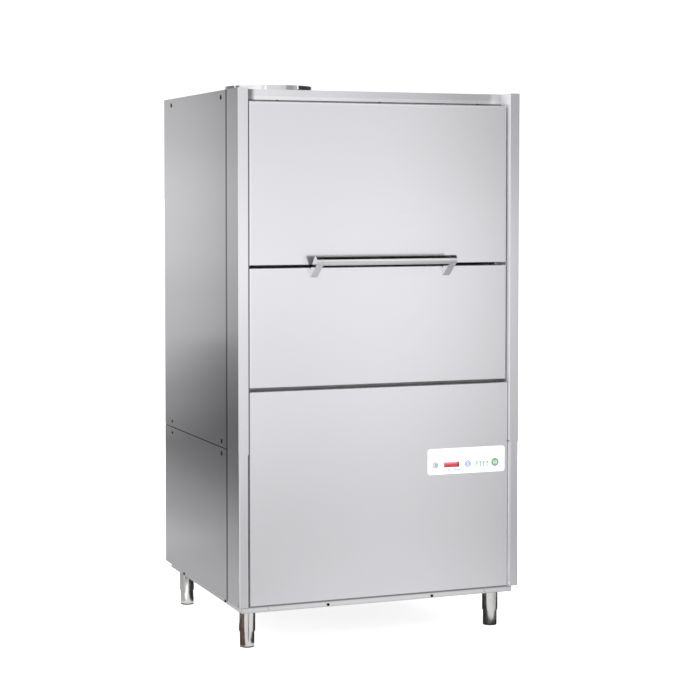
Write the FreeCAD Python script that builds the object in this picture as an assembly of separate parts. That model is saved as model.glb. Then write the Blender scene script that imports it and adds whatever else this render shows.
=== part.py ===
import FreeCAD, Part
import math
import os

# Commercial pot washer with a linked split door.
# The lower half of the door folds down into a loading shelf while the upper half rises.
# Millimetres. +Z is up, +Y runs from the front to the back, Z = 0 is the floor.
# The origin is on the floor under the middle of the whole machine, handle included.

Vec = FreeCAD.Vector
X_AXIS = Vec(1, 0, 0)
Y_AXIS = Vec(0, 1, 0)
Z_AXIS = Vec(0, 0, 1)

# Cabinet
WIDTH = 1040.0
DEPTH = 890.0
BODY_BOTTOM = 155.0
BODY_TOP = 1895.0
SHEET = 1.5
RETURN_WIDTH = 18.0
PANEL_GAP = 3.0
PANEL_SPLIT_Z = 674.5
SEAT = 0.3
BEND_RADIUS = 3.0
UPPER_COLUMN_RADIUS = 1.2
PANEL_EDGE_GAP = 2.0

# Vent slots in the rear panel
VENT_ROWS = 6
VENT_PITCH = 22.0
VENT_WIDTH = 6.0
VENT_LENGTH = 180.0
VENT_FROM_MIDDLE = 120.0
VENT_RISE = 95.0

# Front columns
COLUMN_WIDTH = 36.0
COLUMN_DEPTH = 120.0
COLUMN_SPLIT_Z = 671.0
LOWER_CORNER_RADIUS = 6.0

# Base frame and legs
RAIL_INSET = 16.5
RAIL_HEIGHT = 22.5
RAIL_WIDTH = 40.0
RAIL_WALL = 2.0
CORNER_LENGTH = 100.0
CORNER_DEPTH = 130.0
CORNER_WALL = 3.0
LEG_FROM_SIDE = 61.5
FRONT_LEG_SETBACK = 100.0
REAR_LEG_FROM_BACK = 74.0
SLEEVE_RADIUS = 28.0
SLEEVE_BOTTOM_Z = 55.5
SLEEVE_CAP = 4.0
FOOT_RADIUS = 25.0
FOOT_BARREL_TOP_Z = 115.0
FOOT_PAD_RADIUS = 23.5
FOOT_PAD_HEIGHT = 4.0
FOOT_TRAVEL = 45.0
FOOT_CHAMFER = 2.5
SPINDLE_RADIUS = 8.0
SPINDLE_GAP = 2.0
SPINDLE_OVERLAP = 5.0
RUN_FIT = 0.05
MOTOR_RAIL_X = (110.0, 250.0)
PLATE_FROM_SIDE = 240.0
PLATE_DEPTH = 190.0

# Doors
DOOR_SETBACK = 17.0
DOOR_THICKNESS = 40.0
DOOR_SIDE_GAP = 6.0
LOWER_DOOR_BOTTOM = 890.0
LOWER_DOOR_HEIGHT = 404.0
DOOR_SEAM = 9.0
FASCIA_SHOWN = 42.0
DOOR_FOOT_GAP = 10.0
LINER_RETURN = 20.0
PIVOT_ABOVE_EDGE = 20.0

# Door linkage inside the columns
PIN_RADIUS = 9.95
BUSH_WALL = 5.0
LEVER_THICKNESS = 4.0
LEVER_HUB_RADIUS = 22.0
LEVER_END_RADIUS = 16.0
LEVER_GAP = 2.5
HINGE_BLOCK_WIDTH = 34.0
HINGE_BLOCK_BELOW = 14.0
HINGE_BLOCK_ABOVE = 60.0
PIN_IN_BLOCK = 20.0
BLOCK_GAP = 2.0
ROLLER_RADIUS = 12.0
LINK_GAP = 2.0
YOKE_MARGIN = 10.5
CARRIAGE_THICKNESS = 4.0
CARRIAGE_BAR_WIDTH = 38.0
CARRIAGE_BAR_SETBACK = 62.0
YOKE_BORDER = 18.0
BRACE_LEG = 90.0
CARRIAGE_HEAD_REACH = 16.0
DOOR_PIN_RADIUS = 6.0
DOOR_PIN_HEIGHTS = (20.0, 60.0)
DOOR_PIN_GRIP = 12.0
DOOR_BLOCK_WIDTH = 14.0
DOOR_BLOCK_HEIGHT = 24.0
GUIDE_ROLLER_RADIUS = 10.0
GUIDE_GAP = 0.3
GUIDE_STRIP = 5.0

# Handle
BAR_RADIUS = 15.5
HEAD_RADIUS = 16.0
BAR_STANDOFF = 50.0
HANDLE_HALF_LENGTH = 258.0
BRACKET_WIDTH = 25.5
BAR_ABOVE_SEAM = 18.5
BRACKET_FOOT_DROP = 57.0
BRACKET_FOOT_HEIGHT = 26.0

# Service panel and controls
PANEL_SETBACK = 8.0
PANEL_PAN = 17.0
PANEL_SIDE_GAP = 2.5
MEMBRANE_WIDTH = 296.0
MEMBRANE_HEIGHT = 90.0
MEMBRANE_THICKNESS = 0.8
MEMBRANE_CORNER = 10.0
MEMBRANE_FROM_SIDE = 199.0
MEMBRANE_BELOW_DOOR = 279.5
KEY_ROW_DROP = 12.0
POWER_KEY = (-119.0, 10.5)
PROGRAM_KEY = (5.5, 11.5)
START_KEY = (111.0, 14.0)
KEY_PROUD = 0.3
KEY_GAP = 0.3
KEY_DEPTH = 1.7
DISPLAY_X = -56.5
DISPLAY_WIDTH = 59.0
DISPLAY_HEIGHT = 19.0
LIGHT_X = 40.5
LIGHT_PITCH = 13.2
LIGHT_COUNT = 4
LIGHT_RADIUS = 3.2
BOX_INSIDE = 165.0
BOX_OUTSIDE = 140.0
BOX_ABOVE = 109.5
BOX_BELOW = 180.5
BOX_DEPTH = 110.0
BOX_CORNER = 6.0
BOX_GAP = 1.5
LUG_INSET = 15.0
LUG_RADIUS = 6.0
DOSER_FROM_SIDE = 100.0
DOSER_PITCH = 90.0
DOSER_WIDTH = 70.0
DOSER_HEIGHT = 100.0
DOSER_DEPTH = 55.0
DOSER_BELOW_DOOR = 230.0
DOSER_CORNER = 5.0
DOSER_HEAD_RADIUS = 28.0
DOSER_HEAD_DEPTH = 17.0
DOSER_HEAD_RISE = 40.0
DOSER_PORT_RADIUS = 4.0
DOSER_PORT_SIDE = 15.0
DOSER_PORT_RISE = 42.0

# Wash chamber and tank
SIDE_CAVITY = 85.0
REAR_CAVITY = 45.0
SEAL_SPACE = 16.5
SEAL_WIDTH = 14.0
SEAL_FROM_OPENING = 4.0
SEAL_ABOVE_ROOF = 12.0
SEAL_ABOVE_PIVOT = 40.0
SEAL_CORNER = 5.0
FLOOR_BELOW_DOOR = 40.0
ROOF_SPACE = 95.0
FRAME_TOP_OVERLAP = 50.0
SILL_HEIGHT = 40.0
APRON_DROP = 35.0
TANK_SIDE_MARGIN = 105.0
TANK_FRONT_MARGIN = 90.0
TANK_BACK_MARGIN = 65.0
TANK_BELOW_FLOOR = 250.0
TANK_SLOPE = 25.0
TANK_SKIRT = 10.0
TANK_WALL = 2.0

# Exhaust collar
COLLAR_FROM_SIDE = 262.0
COLLAR_BEFORE_CENTRE = 10.0
COLLAR_RADIUS = 157.5
COLLAR_WALL = 1.5
COLLAR_HEIGHT = 30.0
COLLAR_SLOTS = 8
COLLAR_SLOT_WIDTH = 6.0
COLLAR_SLOT_DEPTH = 26.0

# Rack
RACK_SIDE_ROOM = 10.0
RACK_END_ROOM = 35.0
RACK_HEIGHT = 110.0
RACK_CELLS = 8
RACK_ABOVE_FLOOR = 85.0
WIRE_RADIUS = 3.0
THIN_WIRE_RADIUS = 2.5
RAIL_LEG = 30.0
RACK_RAIL_SHEET = 2.0
RACK_RAIL_FROM_DOOR = 5.0

# Wash and rinse arms
ARM_END_ROOM = 45.0
ARM_HALF_WIDTH = 26.0
ARM_TIP_HALF_WIDTH = 17.0
ARM_TIP_DROP = 4.0
ARM_HEIGHT = 20.0
ARM_ANGLE = 24.0
ARM_HUB_RADIUS = 34.0
ARM_HUB_HEIGHT = 27.5
HUB_BELOW_BLADE = 2.5
NOZZLE_RADIUS = 9.0
NOZZLE_HEIGHT = 4.5
NOZZLE_SLOT = 3.0
NOZZLE_FROM_HUB = 28.0
NOZZLE_COUNT = 4
RINSE_TIP_ROOM = 20.0
RINSE_ANGLE = -38.0
RINSE_TUBE_RADIUS = 5.0
RINSE_HUB_RADIUS = 24.0
RINSE_HUB_HEIGHT = 11.0
JET_RADIUS = 3.5
JET_HEIGHT = 3.0
JET_FROM_HUB = 40.0
JET_COUNT = 4
HUB_PIPE_RADIUS = 15.0
HUB_GAP = 1.0
LOWER_ARM_RISE = 34.0
UPPER_ARM_DROP = 23.0
SHOULDER_RADIUS = 21.0
SHOULDER_HEIGHT = 5.0
NUT_RADIUS = 22.0
NUT_HEIGHT = 7.5
NUT_GRIPS = 8
NUT_GRIP_RADIUS = 3.0

# Wash water pipes
PIPE_WALL = 1.5
RISER_RADIUS = 19.0
RISER_FROM_BACK = 22.5
RISER_BEND = 38.0
END_PLATE = 3.0
LOWER_FEED_RISE = 18.0
LOWER_FEED_BEND = 16.0
UPPER_FEED_RISE = 47.0
UPPER_FEED_END = 2.0
DROP_OVERLAP = 20.0

# Wash pump
PUMP_FROM_BACK = 290.0
PUMP_Z = 330.0
VOLUTE_RADIUS = 92.0
VOLUTE_GROWTH = 14.0
VOLUTE_WIDTH = 62.0
VOLUTE_WALL = 4.0
OUTLET_RADIUS = 22.0
OUTLET_FROM_BACK = 155.0
OUTLET_NECK = 21.0
INLET_RADIUS = 27.0
INLET_STUB = 16.0
INLET_WALL = 5.0
ELBOW_BEND = 50.0
ELBOW_WALL = 4.0
IMPELLER_RADIUS = 74.0
IMPELLER_WIDTH = 26.0
IMPELLER_DISC = 4.0
BLADE_COUNT = 6
BLADE_THICKNESS = 3.0
BLADE_SWEEP = 60.0
IMPELLER_GAP = 3.0
IMPELLER_HUB_WALL = 7.0
SHAFT_RADIUS = 9.0
MOTOR_RADIUS = 70.0
MOTOR_LENGTH = 240.0
MOTOR_FIN_COUNT = 18
MOTOR_FIN_DEPTH = 6.0
MOTOR_FIN_WIDTH = 5.0
MOTOR_FLANGE = 14.0
MOTOR_FAN_COVER = 45.0
MOTOR_BOX = (80.0, 160.0)
MOTOR_BOX_HALF = 40.0
MOTOR_BOX_RISE = 35.0
MOTOR_FOOT_HALF = 55.0
MOTOR_FOOT_WIDTH = 24.0
MOTOR_FOOT_HEIGHT = 10.0
MOTOR_WEB_HALF = 45.0
MOTOR_WEB_WIDTH = 12.0
SHAFT_LENGTH = 60.0
SUMP_X = -150.0

# Tank fittings
FILTER_COLUMNS = 4
FILTER_ROWS = 14
FILTER_SLOT = 8.0
FILTER_FROM_MIDDLE = 50.0
FILTER_SIDE_BAR = 12.0
FILTER_END_BAR = 20.0
FILTER_LIP = 2.0
FILTER_LIFT = 1.2
OVERFLOW_BELOW_FLOOR = 60.0
OVERFLOW_COLLAR = 8.0
OVERFLOW_COLLAR_RISE = 3.0
OVERFLOW_COLLAR_HEIGHT = 12.0
HEATER_SETBACK = 330.0
HEATER_REACH = 420.0
HEATER_HEIGHT = 75.0
HEATER_NECK_RADIUS = 36.0
HEATER_TUBE_RADIUS = 4.5
HEATER_LOOP_HALF = 18.0
HEATER_LOOP_BEND = 17.0
HEATER_LOOP_PITCH = 22.0
HEATER_FLANGE_RADIUS = 42.0
HEATER_FLANGE = 8.0
HEATER_COVER_RADIUS = 34.0
HEATER_COVER = 46.0
HEATER_NECK = 6.0

# Boiler and services
BOILER_FROM_SIDE = 190.0
BOILER_SETBACK = 300.0
BOILER_RADIUS = 118.0
BOILER_WALL = 2.0
BOILER_BOTTOM_Z = 200.0
BOILER_TO_TANK = 60.0
BOILER_CROWN = 26.0
SKIRT_RADIUS = 95.0
BOILER_FLANGE_RADIUS = 52.0
BOILER_NECK = 12.0
BOILER_ELEMENT_RADIUS = 3.5
BOILER_ELEMENT_HALF = 9.0
BOILER_ELEMENT_RING = 14.0
BOILER_TERMINAL_RADIUS = 2.5
BOILER_TERMINAL = 18.0
HOT_PORT_FROM_AXIS = 70.0
HOT_PIPE_RISE = 38.0
COLD_PORT_RISE = 60.0
PORT_WALL = 4.0
PORT_LENGTH = 14.0
RINSE_PIPE_RADIUS = 8.0
RINSE_PIPE_BEND = 26.0
RINSE_JOIN_X = -60.0
RINSE_JOIN_FROM_CENTRE = 170.0
INLET_VALVE_TOP = 210.0
DRAIN_X = 200.0
DRAIN_FROM_BACK = 190.0
DRAIN_RADIUS = 20.0
DRAIN_TUBE_RADIUS = 22.0
DRAIN_WALL = 2.5
DRAIN_SPIGOT = 35.0
DRAIN_BODY_Z = 380.0
DRAIN_BODY_RADIUS = 34.0
DRAIN_BODY_HEIGHT = 70.0
DRAIN_COIL_RADIUS = 24.0
DRAIN_COIL_LENGTH = 62.0
DRAIN_RING = 6.0
DRAIN_RING_HEIGHT = 8.0
INLET_X = -110.0
INLET_FROM_BACK = 150.0
INLET_THREAD_RADIUS = 13.2
INLET_SPIGOT = 25.0
INLET_NECK_RADIUS = 15.0
INLET_BODY_RADIUS = 20.0
INLET_BODY_HEIGHT = 40.0
INLET_TOP_RADIUS = 12.0
INLET_COIL_RADIUS = 15.0
INLET_COIL_REACH = 56.0
INLET_BORE_RADIUS = 9.0
GLAND_X = 60.0
GLAND_BORE_RADIUS = 11.0
GLAND_RADIUS = 18.0
GLAND_WALL = 3.0
GLAND_DROP = 22.0
GLAND_CAP = 14.0
GLAND_LOCK = 6.0

# Fasteners
SCREW_RADIUS = 4.5
SCREW_HEIGHT = 2.0
SCREW_FROM_SEAM = 68.0
SCREW_FROM_BACK = 95.0
SCREW_FROM_TOP = 24.0
SCREW_FROM_SPLIT = 21.0
BACK_SCREW_INSET = 7.0
FASCIA_SCREW_X = 18.0
FASCIA_SCREW_PITCH = 374.0
FASCIA_SCREW_DROP = 39.0
BOLT_RADIUS = 5.0
BOLT_HEIGHT = 3.0
BOLT_BELOW_MIDDLE = 4.0
RAIL_BOLT_X = 194.0
RAIL_BOLT_FROM_SEAM = 80.0
RAIL_BOLT_FROM_BACK = 190.0

# Planes worked out from the sizes above
HANDLE_PROUD = BAR_STANDOFF + HEAD_RADIUS - DOOR_SETBACK
FRONT = -(DEPTH - HANDLE_PROUD) / 2
BACK = FRONT + DEPTH
HALF_WIDTH = WIDTH / 2
COLUMN_IN = HALF_WIDTH - COLUMN_WIDTH
DOOR_HALF = COLUMN_IN - DOOR_SIDE_GAP
DOOR_FRONT = FRONT + DOOR_SETBACK
DOOR_BACK = DOOR_FRONT + DOOR_THICKNESS
LOWER_DOOR_TOP = LOWER_DOOR_BOTTOM + LOWER_DOOR_HEIGHT
UPPER_DOOR_BOTTOM = LOWER_DOOR_TOP + DOOR_SEAM
UPPER_DOOR_TOP = BODY_TOP - FASCIA_SHOWN
CARRIAGE_HEAD = DOOR_PIN_HEIGHTS[1] + 2 * GUIDE_ROLLER_RADIUS
LIFT = UPPER_DOOR_TOP - UPPER_DOOR_BOTTOM - CARRIAGE_HEAD
PIVOT_Y = DOOR_FRONT + DOOR_THICKNESS / 2
PIVOT_Z = LOWER_DOOR_BOTTOM + PIVOT_ABOVE_EDGE
FRAME_Y = DOOR_BACK + SEAL_SPACE
CHAMBER_FRONT = FRAME_Y + SHEET
CHAMBER_BACK = BACK - REAR_CAVITY
CHAMBER_HALF = HALF_WIDTH - SIDE_CAVITY
CENTRE_Y = (CHAMBER_FRONT + CHAMBER_BACK) / 2
CHAMBER_FLOOR_Z = LOWER_DOOR_BOTTOM - FLOOR_BELOW_DOOR
CHAMBER_TOP_Z = BODY_TOP - ROOF_SPACE
TANK_BOTTOM_Z = CHAMBER_FLOOR_Z - TANK_BELOW_FLOOR
BAR_Y = DOOR_FRONT - BAR_STANDOFF
BAR_Z = (LOWER_DOOR_TOP + UPPER_DOOR_BOTTOM) / 2 + BAR_ABOVE_SEAM
LEVER_RADIUS = LIFT / math.sqrt(2)
LEVER_DROP = LEVER_RADIUS / math.sqrt(2)
LEVER_X = COLUMN_IN + SHEET + LEVER_GAP
CARRIAGE_X = LEVER_X + LEVER_THICKNESS + LINK_GAP
DOOR_ROOM = DOOR_HALF - SHEET - SEAT
MEMBRANE_X = HALF_WIDTH - MEMBRANE_FROM_SIDE
MEMBRANE_Z = LOWER_DOOR_BOTTOM - MEMBRANE_BELOW_DOOR
PANEL_Y = FRONT + PANEL_SETBACK
COLLAR_X = COLLAR_FROM_SIDE - HALF_WIDTH
COLLAR_Y = CENTRE_Y - COLLAR_BEFORE_CENTRE
ARM_RADIUS = (CHAMBER_BACK - CHAMBER_FRONT) / 2 - ARM_END_ROOM
NOZZLE_PITCH = ARM_RADIUS / (NOZZLE_COUNT + 1)
RINSE_RADIUS = ARM_RADIUS - RINSE_TIP_ROOM
JET_PITCH = RINSE_RADIUS / (JET_COUNT + 1)
LOWER_ARM_Z = CHAMBER_FLOOR_Z + LOWER_ARM_RISE
UPPER_ARM_Z = CHAMBER_TOP_Z - UPPER_ARM_DROP
LOWER_FEED_Z = CHAMBER_FLOOR_Z + LOWER_FEED_RISE
UPPER_FEED_Z = CHAMBER_TOP_Z + UPPER_FEED_RISE
RISER_Y = BACK - RISER_FROM_BACK
HEATER_Y = FRONT + HEATER_SETBACK
PUMP_Y = BACK - PUMP_FROM_BACK
OUTLET_Y = BACK - OUTLET_FROM_BACK
OUTLET_Z = PUMP_Z + VOLUTE_RADIUS - OUTLET_RADIUS
BOILER_X = BOILER_FROM_SIDE - HALF_WIDTH
BOILER_Y = FRONT + BOILER_SETBACK
BOILER_TOP_Z = TANK_BOTTOM_Z - BOILER_TO_TANK
DRAIN_Y = BACK - DRAIN_FROM_BACK
INLET_Y = BACK - INLET_FROM_BACK
PLATE_Z = BODY_BOTTOM - RAIL_HEIGHT
PLATE_HALF_WIDTH = HALF_WIDTH - PLATE_FROM_SIDE


def box(xs, ys, zs):
    """Block between three pairs of low and high coordinates."""
    return Part.makeBox(xs[1] - xs[0], ys[1] - ys[0], zs[1] - zs[0], Vec(xs[0], ys[0], zs[0]))


def rod(x, y, z, axis, radius, length):
    """Cylinder that starts at a point and runs along an axis."""
    return Part.makeCylinder(radius, length, Vec(x, y, z), axis)


def polygon(points):
    """Flat face through a closed run of points."""
    return Part.Face(Part.makePolygon(points + [points[0]]))


def both_sides(shape):
    """A right-hand piece and its mirror image."""
    return [shape, shape.mirror(Vec(0, 0, 0), X_AXIS)]


def pipe(points, radius, bend):
    """Round bar along straight runs joined by arcs of one bend radius."""
    edges = []
    start = points[0]
    for i in range(1, len(points) - 1):
        corner = points[i]
        before = (points[i - 1] - corner).normalize()
        after = (points[i + 1] - corner).normalize()
        reach = bend / math.tan(before.getAngle(after) / 2)
        entry = corner + before * reach
        leave = corner + after * reach
        middle = (before + after).normalize()
        centre = corner + middle * (bend / math.sin(before.getAngle(after) / 2))
        edges.append(Part.makeLine(start, entry))
        edges.append(Part.Arc(entry, centre - middle * bend, leave).toShape())
        start = leave
    edges.append(Part.makeLine(start, points[-1]))
    ring = Part.makeCircle(radius, points[0], points[1] - points[0])
    return Part.Wire(edges).makePipeShell([Part.Wire([ring])], True, False)


def save(name, solids):
    """Write one sub-part, a solid or a list of solids, to its STEP file."""
    shape = solids if not isinstance(solids, list) else Part.makeCompound(solids)
    shape.exportStep("parts/" + name + ".step")


def pan(xs, ys, zs):
    """Folded sheet pan with rounded bends round its front face and an open back."""
    outer = box(xs, ys, zs)
    bends = [e for e in outer.Edges if abs(e.BoundBox.YMax - ys[0]) < 1e-6]
    outer = outer.makeFillet(BEND_RADIUS, bends)
    room_x = (xs[0] + SHEET, xs[1] - SHEET)
    room_z = (zs[0] + SHEET, zs[1] - SHEET)
    return outer.cut(box(room_x, (ys[0] + SHEET, ys[1] + 1), room_z))


# Base frame and legs
def leg_places():
    x = HALF_WIDTH - LEG_FROM_SIDE
    front = FRONT + FRONT_LEG_SETBACK
    rear = BACK - REAR_LEG_FROM_BACK
    return {
        "front_left": (-x, front),
        "front_right": (x, front),
        "rear_left": (-x, rear),
        "rear_right": (x, rear),
    }


def hollow_rail(xs, ys, zs, along_x):
    bar = box(xs, ys, zs)
    wall = RAIL_WALL
    room_z = (zs[0] + wall, zs[1] - wall)
    if along_x:
        return bar.cut(box((xs[0] - 1, xs[1] + 1), (ys[0] + wall, ys[1] - wall), room_z))
    return bar.cut(box((xs[0] + wall, xs[1] - wall), (ys[0] - 1, ys[1] + 1), room_z))


def base_frame():
    out_x = HALF_WIDTH - RAIL_INSET
    front = FRONT + DOOR_SETBACK
    rear = BACK - RAIL_INSET
    zs = (PLATE_Z, BODY_BOTTOM)
    in_x = out_x - CORNER_LENGTH
    solids = []
    for x, y in leg_places().values():
        xs = (in_x, out_x) if x > 0 else (-out_x, -in_x)
        ys = (front, front + CORNER_DEPTH) if y < 0 else (rear - CORNER_DEPTH, rear)
        corner = box(xs, ys, zs)
        room_x = (xs[0] + CORNER_WALL, xs[1] - CORNER_WALL)
        room_y = (ys[0] + CORNER_WALL, ys[1] - CORNER_WALL)
        corner = corner.cut(box(room_x, room_y, (zs[0] - 1, zs[1] - CORNER_WALL)))
        hole = rod(x, y, zs[0], Z_AXIS, SPINDLE_RADIUS + SPINDLE_GAP, RAIL_HEIGHT + 1)
        solids.append(corner.cut(hole))
    solids.append(hollow_rail((-in_x, in_x), (front, front + RAIL_WIDTH), zs, True))
    solids.append(hollow_rail((-in_x, in_x), (rear - RAIL_WIDTH, rear), zs, True))
    ys = (front + CORNER_DEPTH, rear - CORNER_DEPTH)
    solids += both_sides(hollow_rail((out_x - RAIL_WIDTH, out_x), ys, zs, False))
    plate_ys = (rear - RAIL_WIDTH - PLATE_DEPTH, rear - RAIL_WIDTH)
    for x, end in [(BOILER_X, plate_ys[1])] + [(x, plate_ys[0]) for x in MOTOR_RAIL_X]:
        rail_xs = (x - RAIL_WIDTH / 2, x + RAIL_WIDTH / 2)
        solids.append(hollow_rail(rail_xs, (front + RAIL_WIDTH, end), zs, False))
    plate = box((-PLATE_HALF_WIDTH, PLATE_HALF_WIDTH), plate_ys, (PLATE_Z, PLATE_Z + RAIL_WALL))
    for x, y, radius in service_holes():
        plate = plate.cut(rod(x, y, PLATE_Z - 1, Z_AXIS, radius + SEAT, RAIL_WALL + 2))
    solids.append(plate)
    return solids


def service_holes():
    return [
        (DRAIN_X, DRAIN_Y, DRAIN_TUBE_RADIUS),
        (INLET_X, INLET_Y, INLET_NECK_RADIUS),
        (GLAND_X, INLET_Y, GLAND_BORE_RADIUS + GLAND_WALL),
    ]


def leg_sleeves():
    top = BODY_BOTTOM - CORNER_WALL
    room_height = top - SLEEVE_CAP - SLEEVE_BOTTOM_Z
    solids = []
    for x, y in leg_places().values():
        tube = rod(x, y, SLEEVE_BOTTOM_Z, Z_AXIS, SLEEVE_RADIUS, top - SLEEVE_BOTTOM_Z)
        room = rod(x, y, SLEEVE_BOTTOM_Z - 1, Z_AXIS, FOOT_RADIUS + RUN_FIT, room_height + 1)
        thread = rod(x, y, SLEEVE_BOTTOM_Z, Z_AXIS, SPINDLE_RADIUS + RUN_FIT, top)
        solids.append(tube.cut(room).cut(thread))
    return solids


def foot(x, y):
    barrel = rod(x, y, FOOT_PAD_HEIGHT, Z_AXIS, FOOT_RADIUS, FOOT_BARREL_TOP_Z - FOOT_PAD_HEIGHT)
    low_edges = [e for e in barrel.Edges if abs(e.BoundBox.ZMax - FOOT_PAD_HEIGHT) < 1e-6]
    barrel = barrel.makeFillet(FOOT_CHAMFER, low_edges)
    spindle_low = FOOT_BARREL_TOP_Z - SPINDLE_OVERLAP
    spindle_length = BODY_BOTTOM + FOOT_TRAVEL - spindle_low
    spindle = rod(x, y, spindle_low, Z_AXIS, SPINDLE_RADIUS, spindle_length)
    pad = rod(x, y, 0, Z_AXIS, FOOT_PAD_RADIUS, FOOT_PAD_HEIGHT)
    return [barrel.fuse(spindle).removeSplitter(), pad]


# Cabinet covers
def side_panel(zs):
    ys = (FRONT + COLUMN_DEPTH + PANEL_GAP / 2, BACK)
    outer = box((HALF_WIDTH - RETURN_WIDTH, HALF_WIDTH), ys, zs)
    inner_ys = (ys[0] + SHEET, ys[1] - SHEET)
    inner_zs = (zs[0] + SHEET, zs[1] - SHEET)
    room = box((HALF_WIDTH - RETURN_WIDTH - 1, HALF_WIDTH - SHEET), inner_ys, inner_zs)
    return outer.cut(room)


def column_section(zs, radius, cap):
    xs = (COLUMN_IN, HALF_WIDTH)
    ys = (FRONT, FRONT + COLUMN_DEPTH)
    outer = box(xs, ys, zs)
    corner = []
    for edge in outer.Edges:
        at_front = abs(edge.CenterOfMass.y - FRONT) < 1e-6
        upright = abs(edge.BoundBox.ZLength - (zs[1] - zs[0])) < 1e-6
        if at_front and upright:
            corner.append(edge)
    outer = outer.makeFillet(radius, corner)
    room_top = zs[1] - SHEET if cap else zs[1] + 1
    room = box((xs[0] + SHEET, xs[1] - SHEET), (ys[0] + SHEET, ys[1] + 1), (zs[0] - 1, room_top))
    return outer.cut(room)


def column():
    upper = column_section((COLUMN_SPLIT_Z + PANEL_GAP / 2, BODY_TOP), UPPER_COLUMN_RADIUS, True)
    lower = column_section((BODY_BOTTOM, COLUMN_SPLIT_Z - PANEL_GAP / 2), LOWER_CORNER_RADIUS, False)
    wall = COLUMN_IN - 1
    upper = upper.cut(rod(wall, PIVOT_Y, PIVOT_Z, X_AXIS, PIN_RADIUS + RUN_FIT + BUSH_WALL, SHEET + 2))
    slot_half = DOOR_PIN_RADIUS + 1
    low = UPPER_DOOR_BOTTOM + DOOR_PIN_HEIGHTS[0]
    high = UPPER_DOOR_BOTTOM + DOOR_PIN_HEIGHTS[1] + LIFT
    slot = box((wall, wall + SHEET + 2), (PIVOT_Y - slot_half, PIVOT_Y + slot_half), (low, high))
    slot = slot.fuse(rod(wall, PIVOT_Y, low, X_AXIS, slot_half, SHEET + 2))
    slot = slot.fuse(rod(wall, PIVOT_Y, high, X_AXIS, slot_half, SHEET + 2))
    return [upper.cut(slot), lower]


def top_fascia():
    zs = (CHAMBER_TOP_Z + SHEET, BODY_TOP)
    back_y = CHAMBER_FRONT + RETURN_WIDTH
    outer = box((-COLUMN_IN, COLUMN_IN), (CHAMBER_FRONT, back_y), zs)
    room_ys = (CHAMBER_FRONT + SHEET, back_y + 1)
    room = box((-COLUMN_IN - 1, COLUMN_IN + 1), room_ys, (zs[0] - 1, zs[1] - SHEET))
    return outer.cut(room)


def roof_panel():
    z = BODY_TOP - 2 * SHEET
    x_out = HALF_WIDTH - SHEET - PANEL_EDGE_GAP
    y_mid = FRONT + COLUMN_DEPTH + PANEL_GAP
    y_front = CHAMBER_FRONT + SHEET
    right = [(COLUMN_IN, y_front), (COLUMN_IN, y_mid), (x_out, y_mid), (x_out, BACK - SHEET)]
    left = [(-x, y) for x, y in reversed(right)]
    sheet = polygon([Vec(x, y, z) for x, y in right + left]).extrude(Vec(0, 0, SHEET))
    hole = rod(COLLAR_X, COLLAR_Y, z - 1, Z_AXIS, COLLAR_RADIUS + SEAT, SHEET + 2)
    return sheet.cut(hole)


def exhaust_collar():
    x = COLLAR_X
    y = COLLAR_Y
    top = BODY_TOP + COLLAR_HEIGHT
    length = top - CHAMBER_TOP_Z
    tube = rod(x, y, CHAMBER_TOP_Z, Z_AXIS, COLLAR_RADIUS, length)
    tube = tube.cut(rod(x, y, CHAMBER_TOP_Z - 1, Z_AXIS, COLLAR_RADIUS - COLLAR_WALL, length + 2))
    half = COLLAR_SLOT_WIDTH / 2
    for i in range(COLLAR_SLOTS):
        slot = box((0, COLLAR_RADIUS + 1), (-half, half), (top - COLLAR_SLOT_DEPTH, top + 1))
        slot.rotate(Vec(0, 0, 0), Z_AXIS, (i + 0.5) * 360 / COLLAR_SLOTS)
        slot.translate(Vec(x, y, 0))
        tube = tube.cut(slot)
    return tube


def back_panels():
    x = HALF_WIDTH - SHEET - PANEL_EDGE_GAP
    ys = (BACK - 2 * SHEET, BACK - SHEET)
    fold = PANEL_GAP / 2 + SHEET
    upper = box((-x, x), ys, (PANEL_SPLIT_Z + fold, BODY_TOP - 2 * SHEET))
    lower = box((-x, x), ys, (BODY_BOTTOM + SHEET, PANEL_SPLIT_Z - fold))
    for row in range(VENT_ROWS):
        z = BODY_BOTTOM + VENT_RISE + row * VENT_PITCH
        xs = (VENT_FROM_MIDDLE, VENT_FROM_MIDDLE + VENT_LENGTH)
        vent = box(xs, (ys[0] - 1, ys[1] + 1), (z, z + VENT_WIDTH))
        for slot in both_sides(vent):
            lower = lower.cut(slot)
    return [upper, lower]


# Front panel and controls
def key_places():
    z = MEMBRANE_Z - KEY_ROW_DROP
    return {
        "power_key": (MEMBRANE_X + POWER_KEY[0], z, POWER_KEY[1]),
        "program_key": (MEMBRANE_X + PROGRAM_KEY[0], z, PROGRAM_KEY[1]),
        "start_key": (MEMBRANE_X + START_KEY[0], z, START_KEY[1]),
    }


def display_box(ys):
    x = MEMBRANE_X + DISPLAY_X
    z = MEMBRANE_Z - KEY_ROW_DROP
    xs = (x - DISPLAY_WIDTH / 2, x + DISPLAY_WIDTH / 2)
    return box(xs, ys, (z - DISPLAY_HEIGHT / 2, z + DISPLAY_HEIGHT / 2))


def light_rods(y, length):
    z = MEMBRANE_Z - KEY_ROW_DROP
    xs = [MEMBRANE_X + LIGHT_X + i * LIGHT_PITCH for i in range(LIGHT_COUNT)]
    return [rod(x, y, z, Y_AXIS, LIGHT_RADIUS, length) for x in xs]


def service_panel():
    half = COLUMN_IN - PANEL_SIDE_GAP
    zs = (BODY_BOTTOM + SEAT, LOWER_DOOR_BOTTOM - DOOR_FOOT_GAP)
    panel = pan((-half, half), (PANEL_Y, PANEL_Y + PANEL_PAN), zs)
    for x, z, radius in key_places().values():
        panel = panel.cut(rod(x, PANEL_Y - 1, z, Y_AXIS, radius + KEY_GAP, SHEET + 2))
    return panel


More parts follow.
